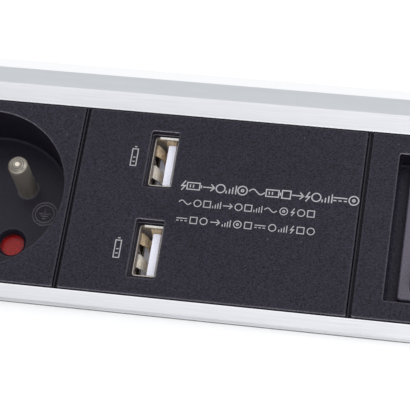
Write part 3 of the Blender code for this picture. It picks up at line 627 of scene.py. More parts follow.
class StripColours(bpy.types.PropertyGroup):
    """Base colours of the main finishes."""

    aluminium: colour("Aluminium", "Extruded housing", (0.545, 0.550, 0.568))
    modules: colour("Modules", "Module plates", (0.0135, 0.0118, 0.0195))
    caps: colour("Caps", "End caps and inlet", (0.016, 0.016, 0.019))
    dividers: colour("Dividers", "Strips between the modules", (0.015, 0.014, 0.019))
    bezel: colour("Bezel", "Frame of the rocker", (0.058, 0.048, 0.072))
    signal_red: colour("Signal red", "Shutters and rocker", (0.27, 0.006, 0.006))
    print: colour("Print", "Printed marks", (0.30, 0.29, 0.30))


# ---------------------------------------------------------------- housing and caps

def section_point(slope_y, depth):
    """World (y, z) of a face height and a depth behind the face."""
    point = Vector((0.0, FACE_POINT.y, FACE_POINT.z)) + UP_SLOPE * slope_y - OUTWARD * depth
    return point.y, point.z


def wedge_corners():
    """Outer corners (y, z): lower lip, base back, top back and upper lip."""
    low = section_point(-0.5 * BAND - LIP_BOTTOM, 0.0)
    high = section_point(0.5 * BAND + LIP_TOP, 0.0)
    back = high[0] + TOP_DEPTH * math.cos(TOP_TILT)
    top = high[1] + TOP_DEPTH * math.sin(TOP_TILT)
    return low, (back, BASE_Z), (back, top), high


def along_x(outline, stations):
    """Rings of a (y, z) outline repeated at each x."""
    return [np.column_stack([np.full(len(outline), x), outline]) for x in stations]


class STRIP_OT_housing(bpy.types.Operator):
    """Extruded aluminium housing with rounded lips, windows and screw ports."""

    bl_idname = "strip.housing"
    bl_label = "Housing"

    def execute(self, context):
        low, base_back, top_back, high = wedge_corners()
        edge = context.scene.strip_sizes.lip_edge / MM
        front = node_span("housing_profile", 1)[0]
        knee = low[1] + (front - low[0]) * math.tan(FACE_TILT)
        half = 0.5 * BAND
        wall, groove = 1.7, BASE_Z + 0.9
        roof = (high[0] + 6.0, high[1] + 6.0 * math.sin(TOP_TILT) - wall)
        grooves = [(start + y, z, 0.1) for start in (low[0] + 2.4, base_back[0] - 15.0)
                   for y, z in ((0.0, BASE_Z), (0.0, groove), (5.0, groove), (5.0, BASE_Z))]
        ledge = [(*section_point(half - y, depth), 0.1)
                 for y, depth in ((0.0, 2.4), (1.2, 2.4), (1.2, 3.9), (0.0, 3.9))]
        corners = [
            (*section_point(-half, 0.0), edge, 3), (front, knee, 0.4, 4),
            (front, TOE_Z, 0.15, 6), (front + 0.7, TOE_Z, 0.1), (front + 0.9, BASE_Z, 0.1),
            *grooves, (*base_back, 2.0, 16), (*top_back, 2.0, 16), (*high, 0.5, 14),
            (*section_point(half, 0.0), edge, 3), *ledge, (*roof, 1.0),
            (top_back[0] - wall, top_back[1] - wall, 1.0),
            (base_back[0] - wall, BASE_Z + 1.5, 1.0),
            (section_point(-half + 1.2, 6.6)[0], BASE_Z + 1.5, 0.3),
            (*section_point(-half + 1.2, 2.4), 0.1), (*section_point(-half, 2.4), 0.1),
        ]
        x0, x1 = node_span("housing_profile")
        outline = corner_outline(corners, 5)
        cuts = []
        for x in SOCKET_X.values():
            window = rectangle(29.6, 12.4, 0.6, (x, low[0] + 14.4), 3, 1)
            cuts.append(cutter([level(window, -3.0), level(window, 4.0)], WORLD))
        inlet_x, inlet_z = inlet_middle()
        hole = rectangle(*INLET_CUT, 0.5, (inlet_x, inlet_z), 3, 1)
        back = [np.column_stack([hole[:, 0], np.full(len(hole), y), hole[:, 1]])
                for y in (base_back[0] - 4.0, base_back[0] + 4.0)]
        cuts.append(cutter(back, WORLD))
        stations = np.concatenate([[x0], np.linspace(x0 + 0.1, x1 - 0.1, 9), [x1]])
        piece("housing_shell", along_x(outline, stations), WORLD,
              "brushed_aluminium", ["housing_profile"], cuts=cuts)
        return {"FINISHED"}


def screw_outline_cutters(frames):
    """Cross recess of each screw: two crossed slots with rounded ends."""
    cuts = []
    for place in frames:
        for turn in (45.0, 135.0):
            slot = rectangle(2.9, 0.55, 0.2, steps=3, side=1)
            turned_place = place @ Matrix.Rotation(math.radians(turn), 4, "Z")
            cuts.append(cutter([level(slot * 0.8, -0.8), level(slot, 0.6)], turned_place))
    return cuts


class STRIP_OT_end_caps(bpy.types.Operator):
    """End caps with rounded edges, each held by two cross-head screws."""

    bl_idname = "strip.end_caps"
    bl_label = "End caps"

    def execute(self, context):
        edge = context.scene.strip_sizes.cap_edge / MM
        low, base_back, top_back, high = wedge_corners()
        outline = corner_outline([(*low, 0.9), (*base_back, 2.0), (*top_back, 2.0),
                                  (*high, 0.9)], 8)
        for side, sign in (("left", -1.0), ("right", 1.0)):
            x0, x1 = node_span(f"end_cap_{side}")
            inner, outer = (x0, x1) if sign > 0 else (x1, x0)
            rings = [level(outline, 0.0)]
            rings += rounded_edge(outline, abs(outer - inner), edge)
            turn = Matrix(((0, 0, sign, inner), (1, 0, 0, 0), (0, 1, 0, 0), (0, 0, 0, 1)))
            cuts, screws = [], []
            for height in ("lower", "upper"):
                name = f"end_screw_{side}_{height}"
                y = 0.5 * sum(node_span(name, 1))
                z = 0.5 * sum(node_span(name, 2))
                axis = Matrix.Rotation(sign * math.radians(90.0), 4, "Y")
                place = Matrix.Translation(Vector((outer, y, z))) @ axis
                cuts.append(cutter(turned(SCREW_BORE, 40), place))
                screws.append((name, place))
            piece(f"end_cover_{side}", rings, turn, "cap_plastic",
                  [f"end_cap_{side}"], cuts=cuts)
            for name, place in screws:
                piece(name.replace("end_", "cap_"), turned(SCREW, 36), place, "screw_steel",
                      [name], cuts=screw_outline_cutters([place]))
        return {"FINISHED"}


class STRIP_OT_foot_strips(bpy.types.Operator):
    """Ribbed rubber strips in the two grooves of the underside."""

    bl_idname = "strip.foot_strips"
    bl_label = "Foot strips"

    def execute(self, context):
        for name in ("front", "rear"):
            node_name = f"foot_strip_{name}"
            x0, x1 = node_span(node_name)
            y0, y1 = node_span(node_name, 1)
            z0, z1 = node_span(node_name, 2)
            y = np.linspace(y1 - 0.1, y0 + 0.1, 41)
            wave = 0.12 * (0.5 - 0.5 * np.cos((y - y0) / (y1 - y0) * 8.0 * np.pi))
            under = np.column_stack([y, z0 + wave])
            outline = np.concatenate([[(y0, z0 + 0.2), (y0, z1), (y1, z1), (y1, z0 + 0.2)],
                                      under])
            piece(f"ribbed_{node_name}", along_x(outline, (x0, x1)), WORLD,
                  "foot_rubber", [node_name])
        return {"FINISHED"}


class STRIP_OT_dividers(bpy.types.Operator):
    """Thin round-nosed strips between the modules."""

    bl_idname = "strip.dividers"
    bl_label = "Dividers"

    def execute(self, context):
        for number in (1, 2, 3):
            name = f"module_divider_{number}"
            x0, x1 = node_span(name)
            middle = 0.5 * (x0 + x1)
            before, after = PLATES[number - 1:number + 1]
            left = node_span(before)[1] + 0.03 - middle
            right = node_span(after)[0] - 0.03 - middle
            outline = rectangle(x1 - x0, 2.0 * PLATE_HALF, 0.16, steps=3, side=1)
            foot = rectangle(right - left, 2.0 * PLATE_HALF, 0.16,
                             (0.5 * (left + right), 0.0), 3, 1)
            rings = levels((foot, PLATE_BACK), (foot, -1.3), (outline, -1.25))
            rings += rounded_edge(outline, -0.1, 0.12, 4)
            piece(f"divider_strip_{number}", rings, face_frame(middle),
                  "divider_plastic", [name])
        return {"FINISHED"}


# ---------------------------------------------------------------- sockets

def plate_outline(node_name, centre_x, side=24):
    """Outline of a module plate about a given x."""
    x0, x1 = node_span(node_name)
    middle = (0.5 * (x0 + x1) - centre_x, 0.0)
    return rectangle(x1 - x0, 2.0 * PLATE_HALF, PLATE_CORNER, middle, 4, side)


def ledged_edge(outline, radius, gap=0.22):
    """Rings of a plate's front: its lower edge steps up by the gap, then turns round.

    Points below the middle move up together, which leaves a ledge along the bottom.
    """
    raised = outline + np.array([0.0, gap]) * (outline[:, 1:] < 0.0)
    return [level(outline, -0.75), level(raised, -0.72)] + rounded_edge(raised, 0.0, radius)


def held_above(points, place, height):
    """Points whose world height is at least the given one, moved straight up to it."""
    world = np.array(place)
    inverse = np.array(place.inverted())
    moved = points @ world[:3, :3].T + world[:3, 3]
    moved[:, 2] = np.maximum(moved[:, 2], height)
    return moved @ inverse[:3, :3].T + inverse[:3, 3]


def socket_rings(outline, place, plate_edge, rim_edge):
    """Rings of a module plate with its round cup, from the cup's back to its floor.

    The plate's outline passes to circles in the same directions; the cup's rings are
    held above the housing's underside, the recess's rings a wall thickness higher.
    """
    def round_ring(radius, z, height):
        ring = level(circle_facing(outline, radius), z)
        return held_above(ring, place, height)

    base, wall = BASE_Z, BASE_Z + 1.1
    rings = [round_ring(0.01, FLOOR_BACK, base), round_ring(CUP_RADIUS, FLOOR_BACK, base),
             round_ring(CUP_RADIUS, -6.0, base), round_ring(CUP_RADIUS, PLATE_BACK, base),
             level(outline, PLATE_BACK)]
    rings += ledged_edge(outline, plate_edge)
    rings.append(round_ring(RECESS_RADIUS + 1.3 * rim_edge, 0.0, wall))
    for a in np.linspace(0.0, 0.5 * np.pi, 6):
        rings.append(round_ring(RECESS_RADIUS + rim_edge * (1.0 - math.sin(a)),
                                -rim_edge * (1.0 - math.cos(a)), wall))
    for z in (-0.6, -3.0, -7.0, -10.0):
        rings.append(round_ring(RECESS_RADIUS, z, wall))
    for a in np.linspace(0.0, 0.5 * np.pi, 6):
        rings.append(round_ring(RECESS_RADIUS - 0.7 * (1.0 - math.cos(a)),
                                -RECESS_DEPTH + 0.7 * (1.0 - math.sin(a)), wall))
    for radius in (RECESS_RADIUS - 0.9, 12.0, 0.01):
        rings.append(round_ring(radius, -RECESS_DEPTH, wall))
    return rings


def finish_recess(insert, place):
    """Give the faces inside the round recess their own, smoother finish."""
    mesh = insert.data
    mesh.materials.append(finishes()["recess_plastic"])
    centres = np.empty(3 * len(mesh.polygons))
    mesh.polygons.foreach_get("center", centres)
    inverse = np.array(place.inverted())
    local = centres.reshape(-1, 3) / MM @ inverse[:3, :3].T + inverse[:3, 3]
    inside = (np.hypot(local[:, 0], local[:, 1]) < RECESS_RADIUS + 0.02) & (local[:, 2] < -0.4)
    inside &= local[:, 2] > FLOOR_BACK + 0.1
    mesh.polygons.foreach_set("material_index", inside.astype(np.int32))


def shutter_outline(count=96):
    """Two-armed disc round a hub of radius 4.9.

    Its radius is (12.7 ^ -8 + (3.45 / |sin a|) ^ -8) ^ (-1 / 8): the smaller of a circle
    and a band, softened.
    """
    angle = np.arange(count) * 2.0 * np.pi / count
    band = 3.45 / np.maximum(np.abs(np.sin(angle)), 1e-3)
    reach = (12.7 ** -8.0 + band ** -8.0) ** (-1.0 / 8.0)
    radius = np.maximum(reach, 4.9)
    return directions(angle) * radius[:, None]


def stroke(points, width, height, closed=False):
    """Flat-topped ribbon along a line of points, mitred at its bends.

    Each section is the point +- half the width along the mitre below, 0.9 of it on top.
    """
    line = np.array(points, float)
    if closed:
        ahead = np.roll(line, -1, 0) - line
        behind = line - np.roll(line, 1, 0)
    else:
        ahead = np.diff(line, axis=0, append=line[-1:] + (line[-1:] - line[-2:-1]))
        behind = np.diff(line, axis=0, prepend=line[:1] - (line[1:2] - line[:1]))
    ahead = ahead / np.linalg.norm(ahead, axis=1, keepdims=True)
    behind = behind / np.linalg.norm(behind, axis=1, keepdims=True)
    normal = np.stack([-(ahead + behind)[:, 1], (ahead + behind)[:, 0]], 1)
    normal /= np.maximum(1.0 + np.sum(ahead * behind, 1, keepdims=True), 0.35)
    side = 0.5 * width * normal
    rings = np.stack([level(line - side, -0.02), level(line - 0.9 * side, height),
                      level(line + 0.9 * side, height), level(line + side, -0.02)], 1)
    return skin(rings, closed=closed)


class STRIP_OT_sockets(bpy.types.Operator):
    """Earthed sockets: plate and round recess, earth pin, shutter and floor mark."""

    bl_idname = "strip.sockets"
    bl_label = "Sockets"

    def execute(self, context):
        sizes = context.scene.strip_sizes
        for number, x in SOCKET_X.items():
            place = face_frame(x)
            turned_place = face_frame(x, turn=INSERT_TURN)
            outline = plate_outline(f"socket_face_{number}", x)
            rings = socket_rings(outline, place, sizes.plate_edge / MM, sizes.rim_edge / MM)
            cuts = [cutter(turned(PIN_HOLE, 48, (x_hole, 0.0)), turned_place)
                    for x_hole in (HOLE_OFFSET, -HOLE_OFFSET)]
            cuts.append(cutter(turned(EARTH_HOLE, 40, (0.0, EARTH_OFFSET)), turned_place))
            insert = piece(f"socket_insert_{number}", rings, place, "module_plastic",
                           [f"socket_face_{number}"], cuts=cuts)
            finish_recess(insert, place)

            pin = turned(EARTH_PIN, 56, (0.0, EARTH_OFFSET))
            made_pin = piece(f"earth_contact_{number}", pin, turned_place, "turned_nickel",
                             [f"earth_pin_{number}"])
            points = np.concatenate(pin)
            reach = np.hypot(points[:, 0], points[:, 1] - EARTH_OFFSET)
            reach[points[:, 2] < PIN_END] = PIN_RADIUS
            layer = made_pin.data.attributes.new("turning", "FLOAT", "POINT")
            layer.data.foreach_set("value", reach)

            disc = shutter_outline()
            front, back = FLOOR_BACK - 0.65, FLOOR_BACK - 2.05
            bore = circle_facing(disc, 2.3)
            body = [level(bore, back), level(disc, back)]
            body += rounded_edge(disc, front, 0.25, 3) + [level(bore, front)]
            piece(f"shutter_disc_{number}", skin(body, closed=True), turned_place,
                  "signal_red", [f"shutter_{number}"], body=f"shutter_{number}")

            width, height = 0.32, 0.16
            bars = [[(-1.35, 0.0), (1.35, 0.0)], [(-0.9, -0.6), (0.9, -0.6)],
                    [(-0.45, -1.2), (0.45, -1.2)], [(0.0, 0.1), (0.0, 1.5)]]
            shapes = [stroke(circle(radius, 48), width, height, True)
                      for radius in (2.3, 3.0)]
            shapes += [stroke(bar, 0.26, height) for bar in bars]
            piece(f"earth_mark_{number}", joined(shapes),
                  face_frame(x + 13.2, 0.9, -RECESS_DEPTH),
                  "module_plastic")
        return {"FINISHED"}


# ---------------------------------------------------------------- USB charger

def bent_strip(path, widths, thick, across="y", shift=(0.0, 0.0, 0.0)):
    """Sheet-metal strip: a thin rectangle carried along a path of (u, z) points.

    Each section is path +- thick / 2 * normal by +- width / 2; the widths run along y
    and u is x, or the other way round.
    """
    path = np.array(path, float)
    run = np.gradient(path, axis=0)
    run /= np.linalg.norm(run, axis=1, keepdims=True)
    normal = np.stack([-run[:, 1], run[:, 0]], 1) * 0.5 * thick
    half = 0.5 * np.broadcast_to(np.asarray(widths, float), len(path))
    rings = np.stack([
        np.column_stack([path[:, 0] + sign * normal[:, 0], side * half,
                         path[:, 1] + sign * normal[:, 1]])
        for sign, side in ((-1, -1), (-1, 1), (1, 1), (1, -1))
    ], 1)
    points, faces = skin(rings[:, :, [1, 0, 2]] if across == "x" else rings)
    return points + np.array(shift), faces


def spring_leaf(root, tip, depth, reach, mouth):
    """Path of a spring leaf: from the wall at root it leans in to tip, then curls back.

    u = root + (tip - root) * s * (2 - s) and z = mouth - depth - reach * s, s from 0 to 1.
    """
    s = np.linspace(0.0, 1.0, 12)
    path = np.column_stack([root + (tip - root) * s * (2.0 - s), mouth - depth - reach * s])
    curl = path[-1] + np.array([[-0.25, -0.35], [-0.7, -0.9]]) * (np.sign(tip - root), 1.0)
    return np.concatenate([path, curl])


class STRIP_OT_charger(bpy.types.Operator):
    """Charger plate with two USB ports: folded shells, springs, tongues and contacts."""

    bl_idname = "strip.charger"
    bl_label = "USB charger"

    def execute(self, context):
        sizes = context.scene.strip_sizes
        middle = 0.5 * sum(node_span("usb_face"))
        place = face_frame(middle)
        outline = plate_outline("usb_face", middle)
        rings = [level(outline, PLATE_BACK)]
        rings += ledged_edge(outline, sizes.plate_edge / MM)
        hole = rectangle(*PORT_HOLE, 0.35, steps=4, side=1)
        flare = rounded_edge(hole, 0.0, 0.16, 3, outwards=True)[:-1]
        bore = [level(hole, -5.0)] + flare + [level(inset(hole, -0.17), 2.0)]
        piece("charger_plate", rings, place, "module_plastic", ["usb_face"],
              cuts=[cutter(bore, face_frame(CHARGER_X + x, y))
                    for x, y in PORT_HOLES.values()])
        outer = rectangle(*COLLAR, 0.4, steps=3, side=1)
        inner = rectangle(*COLLAR_HOLE, 0.75, steps=3, side=1)
        collar = skin(levels((inner, COLLAR_BACK), (outer, COLLAR_BACK), (outer, PLATE_BACK),
                             (inner, PLATE_BACK - 0.1)), closed=True)
        for name in PORT_HOLES:
            piece(f"port_collar_{name}", collar, self.port_frame(name), "divider_plastic")
        for name in PORT_HOLES:
            self.make_port(name)
        return {"FINISHED"}

    def port_frame(self, name):
        """Frame on the front over the middle of one shell."""
        low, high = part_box(f"usb_shell_{name}")
        middle = (low + high) * 0.5 / MM
        offset = middle - Vector((middle.x, FACE_POINT.y, FACE_POINT.z))
        return face_frame(middle.x, offset.dot(UP_SLOPE))

    def make_port(self, name):
        """One port: shell with spring windows, tongue, contacts, flange and springs."""
        place = self.port_frame(name)
        mouth, back = -SHELL_FRONT, -12.0
        outer = rectangle(*SHELL, 0.7, steps=5, side=4)
        inner = inset(outer, 0.32)
        rings = levels((outer, back), (outer, mouth - 0.1), (inset(outer, 0.06), mouth),
                       (inset(outer, 0.22), mouth), (inner, mouth - 0.2), (inner, back + 0.5),
                       (inner * 0.02, back + 0.5))
        windows = []
        for y, height in ((3.5, 4.5), (-1.9, 5.2)):
            window = rectangle(1.0, height, 0.2, (-2.65, y), 2, 1)
            windows.append(cutter(levels((window, mouth - 7.6), (window, mouth - 1.6)), place))
        piece(f"usb_case_{name}", rings, place, "tinned_steel",
              [f"usb_shell_{name}"], cuts=windows)

        right = 2.3
        tongue = rectangle(*TONGUE, 0.25, (right - 0.5 * TONGUE[0], -0.55), 4, 2)
        body = levels((tongue, back + 0.7), (tongue, mouth - 0.7),
                      (inset(tongue, 0.07), mouth - 0.56), (inset(tongue, 0.2), mouth - 0.5))
        base = rectangle(4.55, 11.6, 0.2, steps=2, side=1)
        block = levels((base, back + 0.7), (base, back + 2.4))
        piece(f"usb_blade_{name}", joined([skin(body), skin(block)]), place,
              "tongue_white", [f"usb_tongue_{name}"])

        s = np.linspace(0.0, 1.0, 10)
        contact = np.column_stack([right - 1.95 - 0.35 * np.sin(np.pi * s),
                                   mouth - 1.5 - 6.0 * s])
        bars = [bent_strip(contact, 1.0, 0.15, shift=(0.0, y, 0.0))
                for y in (-4.05, -1.55, 0.45, 2.95)]
        piece(f"usb_contacts_{name}", joined(bars), place, "contact_brass")

        flange = ((6.02, mouth - 0.3), (6.06, mouth), (6.2, mouth + 0.14),
                  (6.38, mouth + 0.17))
        side_leaf = spring_leaf(-2.42, -0.75, 1.7, 4.8, mouth)
        end_leaf = spring_leaf(5.97, 4.75, 0.9, 4.6, mouth)
        taper = np.linspace(2.9, 1.8, len(side_leaf))
        for part, path, widths, thick, across, shift, finish in (
                ("flange", flange, 4.4, 0.16, "x", (0.45, 0.0, 0.0), "bright_tin"),
                ("upper_spring", side_leaf, taper, 0.25, "y", (0.0, 3.7, 0.0),
                 "spring_bronze"),
                ("lower_spring", side_leaf, taper + 0.5, 0.25, "y", (0.0, -1.9, 0.0),
                 "bright_tin"),
                ("end_spring", end_leaf, np.linspace(2.4, 1.7, len(end_leaf)), 0.25, "x",
                 (0.95, 0.0, 0.0), "spring_bronze")):
            piece(f"usb_{part}_{name}", bent_strip(path, widths, thick, across, shift), place,
                  finish)


# ---------------------------------------------------------------- printed marks

def ring_mark(radius, x, count=24):
    """Closed circle of a pictogram, half way up it, as a (points, closed) pair."""
    return circle(radius, count, (x, 0.5)), True


WAVE_X = np.linspace(0.0, 1.5, 17)
# Pictograms of height 1: their lines, as (points, closed) pairs, and their width
MARKS = {
    "bolt": ([([(0.42, 1.0), (0.1, 0.45), (0.45, 0.5), (0.12, 0.0)], False)], 0.5),
    "battery": ([([(0.0, 0.15), (1.2, 0.15), (1.2, 0.85), (0.0, 0.85)], True),
                 *[([(x, 0.35), (x, 0.65)], False) for x in (1.36, 0.3, 0.6)]], 1.4),
    "arrow": ([([(0.0, 0.5), (1.1, 0.5)], False),
               ([(0.75, 0.85), (1.1, 0.5), (0.75, 0.15)], False)], 1.1),
    "wave": ([(np.column_stack([WAVE_X, 0.5 + 0.25 * np.sin(WAVE_X / 1.5 * 2.0 * np.pi)]),
               False)], 1.5),
    "direct": ([([(x0, y), (x1, y)], False) for x0, x1, y in (
        (0.0, 1.3, 0.65), (0.0, 0.3, 0.35), (0.5, 0.8, 0.35), (1.0, 1.3, 0.35))], 1.3),
    "ring": ([ring_mark(0.42, 0.45)], 0.9),
    "target": ([ring_mark(0.45, 0.5), ring_mark(0.12, 0.5, 10)], 1.0),
    "square": ([([(0.0, 0.1), (0.8, 0.1), (0.8, 0.9), (0.0, 0.9)], True)], 0.8),
    "bars": ([([(0.3 * k, 0.05), (0.3 * k, 0.35 + 0.2 * k)], False) for k in range(4)], 0.9),
}


def mark_strokes(kind, height):
    """Lines and width of one pictogram, scaled to a height."""
    lines, width = MARKS[kind]
    return [(np.array(points) * height, closed) for points, closed in lines], width * height


def mark_row(kinds, start, end, base, height, width, thick):
    """Skins of pictograms spread evenly from start to end on a base line."""
    made = [mark_strokes(kind, height) for kind in kinds]
    spare = end - start - sum(item[1] for item in made)
    gap = spare / (len(made) - 1)
    shapes, x = [], start
    for lines, wide in made:
        for points, closed in lines:
            shapes.append(stroke(points + np.array([x, base]), width, thick, closed))
        x += wide + gap
    return shapes


class STRIP_OT_printed_marks(bpy.types.Operator):
    """Plain pictograms printed on the charger: rows beside the ports, one by each port."""

    bl_idname = "strip.printed_marks"
    bl_label = "Printed marks"

    def execute(self, context):
        sizes = context.scene.strip_sizes
        width, thick = sizes.stroke / MM, sizes.print_height / MM
        rows = (
            (("bolt", "battery", "arrow", "ring", "bars", "target", "wave", "battery",
              "square", "arrow", "bolt", "ring", "bars", "direct", "target"),
             -8.2, 33.4, 4.05, 2.45, 1.15),
            (("wave", "ring", "square", "bars", "arrow", "ring", "square", "bars", "wave",
              "target", "bolt", "ring", "square"), -8.0, 23.6, 0.02, 1.95, 0.9),
            (("direct", "square", "ring", "arrow", "bars", "target", "square", "direct",
              "ring", "bars", "bolt", "square", "ring"), -7.9, 24.2, -4.35, 1.95, 0.9),
        )
        shapes = []
        for kinds, start, end, base, height, weight in rows:
            shapes += mark_row(kinds, start, end, base, height, width * weight, thick)
        for y in (11.8, -11.8):
            lines, _ = mark_strokes("battery", 1.9)
            for points, closed in lines:
                upright = np.column_stack([-points[:, 1] - 19.35,
                                           points[:, 0] * 1.9 + y - 2.6])
                shapes.append(stroke(upright, width, thick, closed))
        piece("charger_print", joined(shapes), face_frame(CHARGER_X), "print_grey")
        return {"FINISHED"}


# ---------------------------------------------------------------- rocker switch

def rocker_rings(width, half, front):
    """Rings of the rocker across its width.

    Its side outline has a shallow dish in front, z = front + lift * (y / half) squared,
    and a round belly; the rings shrink over the last parts of a millimetre at both
    ends, which rounds the side edges.
    """
    y = np.linspace(-half, half, 25)
    dish = np.column_stack([y, front + ROCKER_DISH * (y / half) ** 2])
    angle = np.linspace(0.05 * np.pi, 0.95 * np.pi, 15)
    belly = np.column_stack([(half - 0.6) * np.cos(angle), 0.2 - 4.4 * np.sin(angle)])
    nose = np.array([(half, front + 0.75), (half - 0.2, 0.9)])
    tail = np.array([(-half + 0.2, 0.9), (-half, front + 0.75)])
    outline = np.concatenate([dish, nose, belly, tail])
    rings = [(0.35 * (1.0 - math.sin(a)), -0.5 * width + 0.35 * (1.0 - math.cos(a)))
             for a in 0.5 * np.pi * np.linspace(0.0, 1.0, 6)]
    edges = rings + [(0.0, -0.5 * width + 0.6), (0.0, 0.5 * width - 0.6)]
    edges += [(d, -x) for d, x in rings[::-1]]
    return [np.column_stack([np.full(len(outline), x), inset(outline, d)]) for d, x in edges]


class STRIP_OT_rocker_switch(bpy.types.Operator):
    """Sunken rocker switch: plate with its recess, glossy frame, red rocker and marks."""

    bl_idname = "strip.rocker_switch"
    bl_label = "Rocker switch"

    def execute(self, context):
        sizes = context.scene.strip_sizes
        middle = 0.5 * sum(node_span("switch_face"))
        place = face_frame(middle)
        outline = plate_outline("switch_face", middle, 6)
        well = rectangle(*SWITCH_RECESS, 0.5, steps=4, side=6)
        seat = rectangle(*SWITCH_OPENING, 0.3, steps=4, side=6)
        tub = inset(well, -1.4)
        rings = levels((seat, -8.0), (tub, -8.0), (tub, PLATE_BACK), (outline, PLATE_BACK))
        rings += ledged_edge(outline, sizes.plate_edge / MM)
        rings += rounded_edge(well, 0.0, 0.2, outwards=True)[::-1]
        rings += levels((well, -1.0), (well, -5.9), (inset(well, 0.4), -6.3), (seat, -6.4))
        piece("switch_surround", skin(rings, closed=True), place, "module_plastic",
              ["switch_face"])

        frame_outline = rectangle(*BEZEL, 0.9, steps=4, side=6)
        mouth = rectangle(ROCKER[0] + 0.6, ROCKER[1] + 2.2, 0.5, steps=4, side=6)
        can = rectangle(*SWITCH_CAN, 0.4, steps=4, side=6)
        rings = levels((mouth * 0.02, SWITCH_BACK), (can, SWITCH_BACK), (can, -6.2),
                       (frame_outline, -6.2))
        rings += rounded_edge(frame_outline, -BEZEL_DEPTH, 0.5)
        rings += rounded_edge(mouth, -BEZEL_DEPTH, 0.3, outwards=True)[::-1]
        rings += levels((mouth, -6.0), (mouth, -15.4), (mouth * 0.02, -15.4))
        piece("rocker_frame", rings, place, "bezel_plastic",
              ["switch_body"])

        pivot = face_frame(middle, z=-PIVOT_DEPTH) @ Matrix.Rotation(ROCKER_LEAN, 4, "X")
        front = PIVOT_DEPTH - BEZEL_DEPTH
        rings = rocker_rings(ROCKER[0], 0.5 * ROCKER[1], front)
        piece("red_rocker", rings, pivot, "signal_red",
              ["switch_rocker"], body="rocker")
        points, faces = joined([
            stroke(circle(1.9, 40, (0.0, 7.4)), 0.5, 0.12, True),
            stroke([(0.0, y) for y in np.linspace(-9.4, -5.6, 9)], 0.5, 0.12),
        ])
        points[:, 2] += front + ROCKER_DISH * (points[:, 1] / (0.5 * ROCKER[1])) ** 2
        piece("rocker_marks", (points, faces), pivot, "tongue_white",
              body="rocker")
        return {"FINISHED"}


# ---------------------------------------------------------------- mains inlet

def inlet_middle():
    """World x and z of the inlet's middle, in mm."""
    x0, x1 = node_span("inlet_body")
    z0, z1 = node_span("inlet_body", 2)
    return 0.5 * (x0 + x1), 0.5 * (z0 + z1)


def keyed_outline(width, height, chamfer, radius):
    """Inlet outline: a rectangle whose two lower corners are cut off."""
    w, h = 0.5 * width, 0.5 * height
    corners = [(-w, -h + chamfer, radius), (-w + chamfer, -h, radius),
               (w - chamfer, -h, radius), (w, -h + chamfer, radius), (w, h, radius),
               (-w, h, radius)]
    return corner_outline(corners, 5)


class STRIP_OT_inlet(bpy.types.Operator):
    """Mains inlet in the back wall, with three blades in its keyed hollow."""

    bl_idname = "strip.inlet"
    bl_label = "Mains inlet"

    def execute(self, context):
        x, z = inlet_middle()
        y0, y1 = node_span("inlet_body", 1)
        place = Matrix(((-1, 0, 0, x), (0, 0, 1, y1), (0, 1, 0, z), (0, 0, 0, 1)))
        shapes = [keyed_outline(24.0, 16.4, 4.5, 0.8), keyed_outline(26.8, 19.4, 4.0, 0.8),
                  rectangle(*INLET_FLANGE, 1.6, steps=6, side=8)]
        every = np.concatenate([np.arctan2(shape[:, 1], shape[:, 0]) for shape in shapes])
        angle = np.unique(np.round(every, 4))
        hollow, can, flange = [seen_from_middle(shape, angle) for shape in shapes]
        back = y0 - y1
        rings = levels((can * 0.02, back), (can, back), (can, -2.2), (flange, -2.2))
        rings += rounded_edge(flange, 0.0, 0.6)
        rings += rounded_edge(hollow, 0.0, 0.4, outwards=True)[::-1]
        rings += levels((hollow, -1.0), (hollow, -INLET_DEPTH),
                        (hollow * 0.02, -INLET_DEPTH))
        piece("inlet_shell", rings, place, "cap_plastic",
              ["inlet_body"])
        for name in ("live", "neutral", "earth"):
            node_name = f"inlet_pin_{name}"
            px = 0.5 * sum(node_span(node_name))
            pz = 0.5 * sum(node_span(node_name, 2))
            py0, py1 = node_span(node_name, 1)
            blade = rectangle(2.0, 4.0, 0.3, (x - px, pz - z), 3, 2)
            tip = py1 - y1
            rings = levels((blade, py0 - y1), (blade, tip - 1.2),
                           (inset(blade, 0.25), tip - 0.3), (inset(blade, 0.5), tip))
            piece(f"inlet_blade_{name}", rings, place, "nickel_plate",
                  [node_name])
        return {"FINISHED"}


class STRIP_OT_inner_parts(bpy.types.Operator):
    """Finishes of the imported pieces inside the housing."""

    bl_idname = "strip.inner_parts"
    bl_label = "Inner parts"

    def execute(self, context):
        made = finishes()
        table = {
            "socket_carrier": "cap_plastic", "shutter_spring": "screw_steel",
            "contact_": "contact_brass", "busbar_": "contact_brass",
            "usb_board": "board_brown", "usb_transformer": "ferrite",
            "usb_inductor": "ferrite", "usb_capacitor": "capacitor_sleeve",
            "switch_pivot": "nickel_plate", "switch_terminal": "contact_brass",
        }
        for name, obj in frame["nodes"].items():
            for start, finish in table.items():
                if name.startswith(start):
                    obj.data.materials.clear()
                    obj.data.materials.append(made[finish])
        return {"FINISHED"}


# ---------------------------------------------------------------- stage

CAMERA_PLACE = (0.08676536, -0.43232559, 0.05877625)
CAMERA_RIGHT = (0.983136, 0.164556, 0.079778)
CAMERA_UP = (-0.091686, 0.066077, 0.993593)
CAMERA_BACK = (0.158230, -0.984152, 0.080050)
CAMERA_LENS = 159.71


def area_light(name, place, target, size, power):
    """Square area light at place, aimed at target; metres and watts."""
    light = bpy.data.lights.new(name, "AREA")
    light.shape = "SQUARE"
    light.size = size
    light.energy = power
    obj = bpy.data.objects.new(name, light)
    obj.location = place
    aim = Vector(target) - Vector(place)
    obj.rotation_euler = aim.to_track_quat("-Z", "Y").to_euler()
    bpy.context.scene.collection.objects.link(obj)


